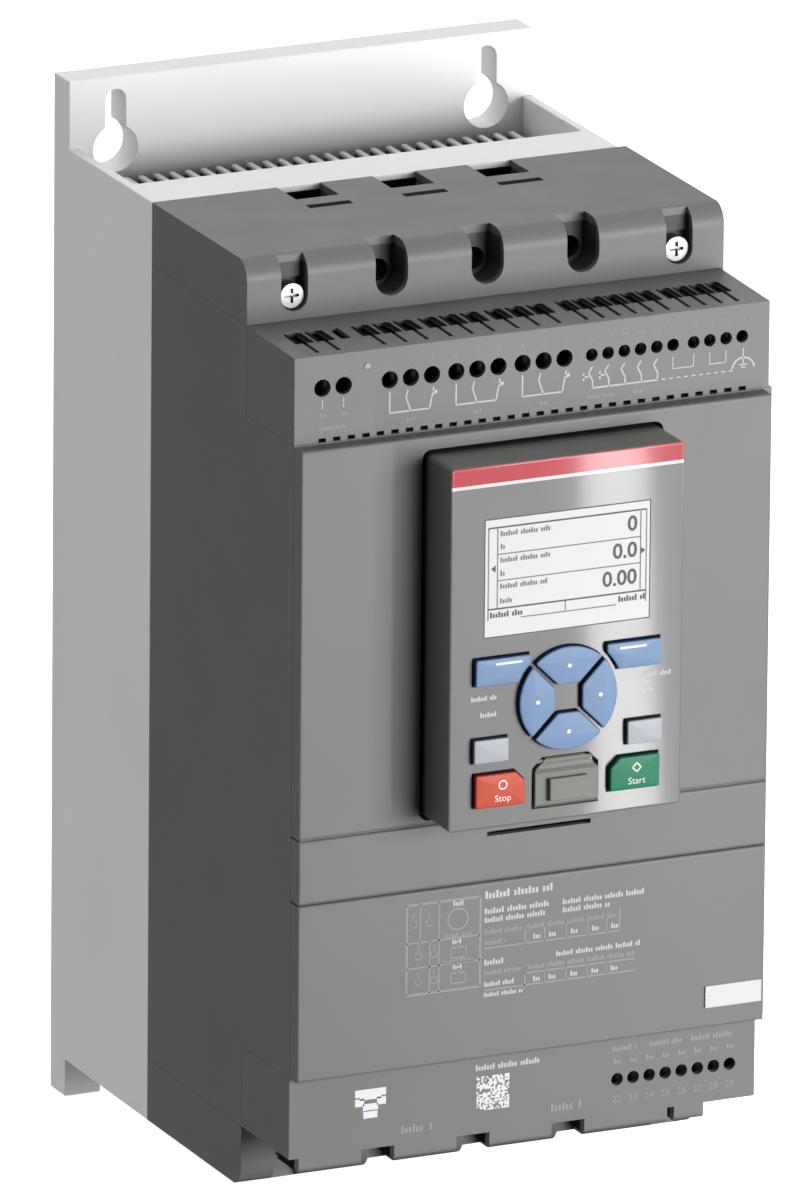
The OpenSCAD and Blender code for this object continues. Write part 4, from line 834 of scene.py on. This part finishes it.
def ink(name, shapes, face, body, material, lift=INK, level=False):
    """Closed plates over flat shapes: their outer corners stand a lift off the face and their inner corners
    lie the ink's thickness under it. Shapes are in x and z on an upright face, or in x and y on a level one.
    Returns the number of faces."""
    out = 1 if level else -1
    vertices, faces, first = [], [], 0
    for shape in shapes:
        flips = np.sign(np.sum(shape[:, :, 0] * np.roll(shape[:, :, 1], -1, 1)
                               - shape[:, :, 1] * np.roll(shape[:, :, 0], -1, 1), 1)) < 0
        shape = np.where(flips[:, None, None], shape[:, ::-1], shape)
        count, n = shape.shape[:2]
        heights = np.array([face + out * lift * MM, face - out * INK * MM])
        layer = np.broadcast_to(heights[None, :, None], (count, 2, n))
        flat = np.broadcast_to(shape[:, None] * MM, (count, 2, n, 2))
        order = [flat[..., 0], flat[..., 1], layer] if level else [flat[..., 0], layer, flat[..., 1]]
        vertices.append(np.stack(order, -1).reshape(-1, 3))
        base = first + 2 * n * np.arange(count)[:, None]
        k = np.arange(n)
        faces += (base + k).tolist() + (base + n + k[::-1]).tolist()
        j = (k + 1) % n
        faces += np.stack([base + k, base + n + k, base + n + j, base + j], -1).reshape(-1, 4).tolist()
        first += 2 * n * count
    piece = new_object(name, np.concatenate(vertices), faces, material)
    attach(piece, body)
    return len(faces)


print("ink", INK, "mm off its face; a digit 1 mm high takes a font size of", round(1 / FONT_DIGIT, 3), "mm")

# %% [markdown]
# ## The display's picture
# The display shows three readings, ruled off by thin lines, with an arrow on each side and two soft-key
# words. The readings are plain zeros. Places run from 0 to 1 across and down the window, so the picture
# keeps to its glass.

# %% Display
glass_low, glass_high = corner_array("display_window") / MM


def on_glass(u, v):
    """Point of the window in mm: u from left to right, v from top to bottom."""
    wide, _, tall = glass_high - glass_low
    return (glass_low[0] + u * wide, glass_high[2] - v * tall)


def glass_line(u0, v0, u1, v1):
    """Row of x0, z0, x1, z1 for a line on the window."""
    return (*on_glass(u0, v0), *on_glass(u1, v1))


def glass_word(u0, u1, v, height):
    """Small print on the window between two places across."""
    (x0, z), (x1, _) = on_glass(u0, v), on_glass(u1, v)
    return word(x0, x1, z, height)


READING, BOLD, SMALL_WORD, SOFT_WORD = 4.7, 0.13, 1.6, 1.75
THICK, THIN = 0.5, 0.36
ARROW = np.array([(0, 0), (1.5, -1.1), (1.5, 1.1)])
thick_lines = bars([glass_line(0.02, 0.07, 0.98, 0.07), glass_line(0.02, 0.765, 0.98, 0.765)], THICK)
thin_lines = bars([glass_line(0.02, 0.07, 0.02, 0.86), glass_line(0.075, 0.08, 0.075, 0.76),
                   glass_line(0.945, 0.08, 0.945, 0.76), glass_line(0.98, 0.07, 0.98, 0.86),
                   glass_line(0.075, 0.30, 0.945, 0.30), glass_line(0.075, 0.525, 0.945, 0.525),
                   glass_line(0.22, 0.86, 0.80, 0.86), glass_line(0.49, 0.77, 0.49, 0.85)], THIN)
readings = [lettering(text, *on_glass(0.925, v), READING, "RIGHT", BOLD)
            for text, v in (("0", 0.185), ("0.0", 0.41), ("0.00", 0.64))]
arrows = np.array([on_glass(0.035, 0.42) + ARROW, on_glass(0.975, 0.42) + ARROW * [-1, 1]])
small_print = [glass_word(0.09, u1, v, SMALL_WORD) for u1, v in (
    (0.40, 0.125), (0.125, 0.235), (0.40, 0.35), (0.125, 0.465), (0.38, 0.575), (0.16, 0.70))]
soft_words = [glass_word(u0, u1, 0.815, SOFT_WORD) for u0, u1 in ((0.03, 0.23), (0.81, 0.97))]
bold_shapes = [thick_lines, arrows, *readings, *soft_words]
print("display:", ink("display_lines", [thin_lines, *small_print], window_y, "keypad", ink_grey),
      ink("display_readings", bold_shapes, window_y, "keypad", ink_dark), "faces")

# %% [markdown]
# ## Marks on the keypad
# The soft keys carry a short white bar, the arrow keys a white dot, and stop and start their plain words
# under a small sign. Each mark rides on its own key, so it moves when the key is pressed. Small words stand
# beside the ring.

# %% Key marks and overlay words
BAR_HALF, BAR_DROP, BAR_WIDTH, DOT_RADIUS = 4.2, 1.5, 0.7, 0.65
SIGN_RISE, SIGN_LINE, WORD_DROP, WORD_HEIGHT = 1.7, 0.42, 2.4, 2.1
# how far a mark lies behind the top of its crown, as a share of the crown, and how far it stands off, in mm
BAR_SINK, BAR_LIFT, DOT_SINK, DOT_LIFT, SIGN_SINK, SIGN_LIFT = 0.5, 0.10, 0.1, 0.06, 0.3, 0.09
mark_count = 0
for name, shift in (("soft_key_left", 1.6), ("soft_key_right", -0.6)):
    low, high = corner_array(name) / MM
    bar_x, bar_z = (low[0] + high[0]) / 2 + shift, high[2] - FLANGE - BAR_DROP
    mark_count += ink(name + "_bar", [bars([(bar_x - BAR_HALF, bar_z, bar_x + BAR_HALF, bar_z)], BAR_WIDTH)],
                      key_front_y + CROWN * BAR_SINK * MM, name, ink_white, BAR_LIFT)
for name in ("up_key", "left_key", "down_key", "right_key"):
    low, high = corner_array(name) / MM
    mark_count += ink(name + "_dot", [discs([((low[0] + high[0]) / 2, (low[2] + high[2]) / 2)], DOT_RADIUS)],
                      key_front_y + CROWN * DOT_SINK * MM, name, ink_white, DOT_LIFT)
low, high = corner_array("stop_key") / MM
stop_x, run_z = (low[0] + high[0]) / 2, (low[2] + high[2]) / 2
start_x = 2 * keypad_x - stop_x
diamond = np.array([(0, 1.35), (1.35, 0), (0, -1.35), (-1.35, 0), (0, 1.35)])
for name, text, sign, x in (("stop_key", "Stop", arc(1.25, 90, 450, 21), stop_x + 0.6),
                            ("start_key", "Start", diamond, start_x + 0.4)):
    mark = [path(sign + [x, run_z + SIGN_RISE], SIGN_LINE),
            lettering(text, x, run_z - WORD_DROP, WORD_HEIGHT)]
    mark_count += ink(name + "_mark", mark, key_front_y + CROWN * SIGN_SINK * MM, name, ink_white, SIGN_LIFT)
side_words = [word(-28.6, -20.4, 14.5, 1.5), word(-25.6, -20.6, 9.4, 1.5), word(25.6, 35.2, 15.4, 1.5),
              word(25.6, 30.4, 10.9, 1.5)]
mark_count += ink("overlay_words", side_words, face_y, "keypad", ink_pale)
print("keypad marks:", mark_count, "faces")

# %% [markdown]
# ## Printing on the upper terminal cover
# A number stands over each terminal, and under the holes are the usual contact signs: three change-over
# relays, a row of switched inputs, two bridged pairs and an earth. The hole positions repeat the row's own
# pitches.

# %% Terminal row
LARGE_PITCH, SMALL_PITCH, TERMINAL_Z = 6.7, 5.2, 106.7
SUPPLY_X, RELAY_X, RELAY_STEP, INPUT_X, ANALOG_X = -66.1, -44.8, 21.1, 19.5, 52.1
supply = SUPPLY_X + LARGE_PITCH * np.arange(2)
relays = RELAY_X + RELAY_STEP * np.arange(3)[:, None] + LARGE_PITCH * np.arange(3)
inputs = INPUT_X + SMALL_PITCH * np.arange(6)
analogs = ANALOG_X + SMALL_PITCH * np.arange(4)
all_holes = np.concatenate([supply, relays.ravel(), inputs, analogs])
SIGN_TOP, SIGN_LOW, LINE, THIN_LINE = TERMINAL_Z - 3.6, TERMINAL_Z - 10.0, 0.46, 0.36

signs = []
for common, changing, normal in relays:
    signs += [path([(common, SIGN_TOP), (common, SIGN_LOW), (normal - 0.7, SIGN_LOW),
                    (normal + 0.6, SIGN_TOP)], LINE),
              path([(changing - 0.9, SIGN_TOP), (changing - 1.5, SIGN_TOP - 2.2),
                    (changing, SIGN_LOW)], LINE),
              bars([(normal + 0.3, SIGN_TOP - 1.9, normal + 1.7, SIGN_TOP - 1.4)], 1.0)]
for x in inputs[:5]:
    signs.append(path([(x + 0.2, SIGN_TOP), (x - 1.0, SIGN_TOP - 1.7), (x + 0.3, SIGN_TOP - 4.2),
                       (x + 0.3, SIGN_LOW)], LINE))
for x in inputs[:2] - 2.6:
    signs.append(bars([(x, SIGN_TOP - 1.6, x, SIGN_TOP - 4.0),
                       (x - 0.2, SIGN_TOP - 2.8, x + 1.6, SIGN_TOP - 2.8)], LINE))
signs.append(bars([(inputs[0], SIGN_LOW, inputs[4] + 0.4, SIGN_LOW)], LINE))
dashes = np.arange(inputs[4] + 1.6, analogs[3] - 4, 2.4)
signs.append(bars([(x, SIGN_LOW, x + 1.3, SIGN_LOW) for x in dashes], THIN_LINE))
for first, second in ((inputs[5], analogs[0]), (analogs[1], analogs[2])):
    signs.append(path([(first, SIGN_TOP), (first, SIGN_TOP - 3.6), (second, SIGN_TOP - 3.6),
                       (second, SIGN_TOP)], 0.3))
earth_x, earth_z = analogs[3] + 0.4, SIGN_TOP - 5.2
signs += [path(arc(3.6, 8, 172, 17) + [earth_x, earth_z - 1.2], 0.5),
          bars([(earth_x, SIGN_TOP, earth_x, earth_z + 0.3),
                (earth_x - 1.4, earth_z + 0.3, earth_x + 1.4, earth_z + 0.3),
                (earth_x - 0.8, earth_z - 0.5, earth_x + 0.8, earth_z - 0.5)], THIN_LINE)]
for x in supply:
    signs.append(bars([(x, SIGN_TOP, x, SIGN_TOP - 2.8)], 0.28))
numbers = [lettering(str(i + 1), x, TERMINAL_Z + 5.2, 1.7) for i, x in enumerate(all_holes)]
small_words = [word(18.0, 27.0, SIGN_LOW - 2.6, 1.2), word(33.0, 36.0, SIGN_LOW - 2.6, 1.2),
               word(-67.2, -59.0, SIGN_LOW - 2.2, 1.2),
               *[word(x - 1.4, x + 1.4, SIGN_LOW - 2.6, 1.4) for x in relays[:, 1]],
               *[word(x - 0.8, x + 1.0, SIGN_TOP - 4.6, 1.3) for x in supply]]
print("terminal row:", ink("terminal_signs", signs, control_y, "chassis", ink_pale),
      ink("terminal_numbers", [*numbers, *small_words], control_y, "chassis", ink_faint), "faces")

# %% [markdown]
# ## Printing on the lower covers
# The lower front cover carries a ruled table of ratings, kept here as lines and unreadable small print. The
# lower terminal cover has a sign for the network socket, a block of squares, and its own row of numbers.

# %% Ruled tables
CELLS = np.array([0.2, 5.2, 12.2, 19.0, 25.2])
table_lines = [frame_bars(-40.3, -79.3, -16.8, -51.8, 0.7),
               bars([(-30.0, -79.3, -30.0, -51.8), (-36.0, -63.5, -36.0, -51.8), (-40.3, -63.5, -16.8, -63.5),
                     (-40.3, -71.2, -16.8, -71.2), (-33.0, -79.3, -33.0, -63.5), (-15.5, -68.0, 28.0, -68.0),
                     (28.0, -61.0, 28.0, -68.0), (-2.4, -63.0, -2.4, -68.0), (-15.5, -80.8, 33.0, -80.8),
                     (-2.4, -77.0, -2.4, -82.0), (-2.4, -77.2, 33.0, -77.2)], 0.5),
               bars([(x - 1.3, z, x - 1.3, z + tall) for x in CELLS[1:]
                     for z, tall in ((-68.0, 4.4), (-80.8, 3.6))], THIN_LINE),
               path(arc(3.2, 0, 360, 25) + [-24.0, -57.8], 0.6)]
for x, z in ((-38.3, -57.6), (-33.2, -57.6), (-36.6, -67.4), (-31.6, -67.4), (-36.6, -75.4), (-31.6, -75.4)):
    table_lines += [frame_bars(x - 0.9, z - 1.1, x + 0.9, z + 0.9, 0.4),
                    bars([(x, z + 0.9, x, z + 3.0)], 0.4)]
for z in (-68.0, -75.8):
    table_lines += [frame_bars(-26.2, z - 1.6, -21.4, z + 1.6, 0.45),
                    bars([(-23.8, z + 1.6, -23.8, z + 3.0)], 0.45)]
table_words = [word(-15.4, 6.8, -51.7, 2.3), word(-15.5, 5.5, -56.6, 1.8), word(9.5, 35.7, -56.8, 1.7),
               word(-15.5, 4.5, -59.3, 1.7), word(9.5, 25.0, -59.3, 1.7), word(-15.5, -8.0, -72.3, 1.8),
               word(7.5, 35.0, -72.5, 1.6), word(-15.5, -6.0, -79.0, 1.5), word(-15.5, -3.0, -82.2, 1.4),
               word(-25.6, -22.4, -52.9, 1.7), word(-25.8, -22.6, -64.6, 1.5), word(-25.6, -22.4, -72.4, 1.5),
               *[word(x, x + 2.6, z, 1.6) for x in CELLS for z in (-66.2, -79.2)]]
faint_words = [word(-15.5, -2.8, -62.9, 1.6), word(-1.8, 27.0, -62.9, 1.6), word(-15.5, -8.0, -66.2, 1.6),
               word(-15.5, -2.8, -75.4, 1.6), word(-1.6, 33.0, -75.4, 1.6), word(-28.4, -19.6, -62.6, 1.3),
               word(-28.6, -18.4, -70.5, 1.3)]
print("tables:", ink("table_lines", [*table_lines, *faint_words], cover_y, "chassis", ink_faint),
      ink("table_words", table_words, cover_y, "chassis", ink_pale), "faces")

# %% Lower terminal cover
LOWER_X, LOWER_Z, FIRST_NUMBER = 30.4, -115.8, 22
BLOCK_COUNT, BLOCK_CELL, BLOCK_LEFT, BLOCK_TOP = 21, 0.5, -14.9, -109.2
lower_holes = LOWER_X + SMALL_PITCH * np.arange(8)
socket_sign = [bars([(-53.9, -109.4, -44.0, -109.4), (-53.9, -112.2, -51.0, -112.2),
                     (-46.9, -112.2, -44.0, -112.2), (-51.4, -113.9, -46.5, -113.9)], 2.3),
               bars([(-52.4, -111.0, -45.5, -111.0)], 0.9), bars([(-51.2, -116.0, -46.7, -116.0)], 2.4)]
column, row = (a.ravel() for a in np.meshgrid(np.arange(BLOCK_COUNT), np.arange(BLOCK_COUNT)))
filled = np.sin(12.99 * column + 78.23 * row) * 437.6 % 1 < 0.6
block_x = BLOCK_LEFT + BLOCK_CELL * (column[filled] + 0.5)
block_z = BLOCK_TOP - BLOCK_CELL * (row[filled] + 0.5)
half = BLOCK_CELL / 2
blocks = bars(np.stack([block_x - half, block_z, block_x + half, block_z], -1), BLOCK_CELL)
lower_words = [word(-15.4, 5.4, -106.4, 1.8)]
faint_marks = [word(28.6, 36.6, -106.2, 1.8), word(40.6, 51.0, -106.2, 1.8), word(54.0, 67.4, -106.2, 1.8),
               word(-39.2, -31.6, -122.2, 2.4), word(-30.2, -29.2, -122.2, 2.4), word(8.9, 16.4, -121.8, 2.4),
               word(17.8, 19.0, -121.8, 2.4), *[word(x - 1.2, x + 1.4, -110.2, 1.6) for x in lower_holes],
               *[lettering(str(FIRST_NUMBER + i), x, LOWER_Z - 6.2, 2.2) for i, x in enumerate(lower_holes)]]
print("lower cover:", ink("socket_sign", [*socket_sign, blocks], control_y, "chassis", ink_white),
      ink("lower_words", lower_words, control_y, "chassis", ink_pale),
      ink("lower_numbers", faint_marks, control_y, "chassis", ink_faint), "faces")

# %% [markdown]
# ## Black plates of painted shade
# Black plates paint the shade of the places where wires and sheets go in: a lip on both sides of every wire
# entry of the upper terminal cover, a strip along the slit in front of each cable entry, and a web beside
# each tab of the lower skirt. They are plates on level faces, laid out by the same pitches as the holes.

# %% Painted shade: lips and webs
ENTRY_BACK, ENTRY_FRONT, LIP_HEIGHT, LEDGE_FALL = 149.6, 159.6, 0.30, 0.58
ENTRY_LIPS = (
    # places, width of the opening, width over the lips
    (np.concatenate([supply, relays.ravel()]), 3.6, 5.6),
    (np.concatenate([inputs, analogs]), 3.0, 4.5),
)
SLIT_X, SLIT_DEPTH, SLIT_LIP, SLIT_WIDTH = 2.4 + 30.6 * np.arange(-1, 2), 92.9, 3.2, 13.8
WEB_X, WEB_BACK, WEB_FRONT = (-71.5, -40.9, -10.3, 20.3, 49.3), 157.0, 169.1
WEB_HEIGHT, WEB_WIDTH, WEB_RISE = 4.4, 0.6, 0.2
ledge_z = corner_array("control_cover_top")[1, 2] - LEDGE_FALL * MM
skirt_z = corner_array("control_cover_bottom")[0, 2] + WEB_RISE * MM
roof_z = corner_array("line_terminal_cover")[1, 2]
# painted shade: black plates beside each wire entry widen its dark opening
entry_shade = []
for places, opening, outer in ENTRY_LIPS:
    away, thick = (opening + outer) / 4, (outer - opening) / 2
    entry_shade += [bars([(x + side, -ENTRY_BACK, x + side, -ENTRY_FRONT) for side in (-away, away)], thick)
             for x in places]
# painted shade: a black strip along each slit
strips = bars([(x - SLIT_WIDTH / 2, -SLIT_DEPTH, x + SLIT_WIDTH / 2, -SLIT_DEPTH) for x in SLIT_X], SLIT_LIP)
# painted shade: the webs beside the tabs are black for the shade they stand in
web_shade = bars([(x, -WEB_BACK, x, -WEB_FRONT) for x in WEB_X], WEB_WIDTH)
shade_black = finishes["mat_rubber"]
print("lips:", ink("entry_shade_lips", entry_shade, ledge_z, "chassis", shade_black, LIP_HEIGHT, level=True),
      ink("skirt_shade_webs", [web_shade], skirt_z, "chassis", shade_black, WEB_HEIGHT, level=True),
      ink("slit_shade_lips", [strips], roof_z, "chassis", shade_black, level=True), "faces")
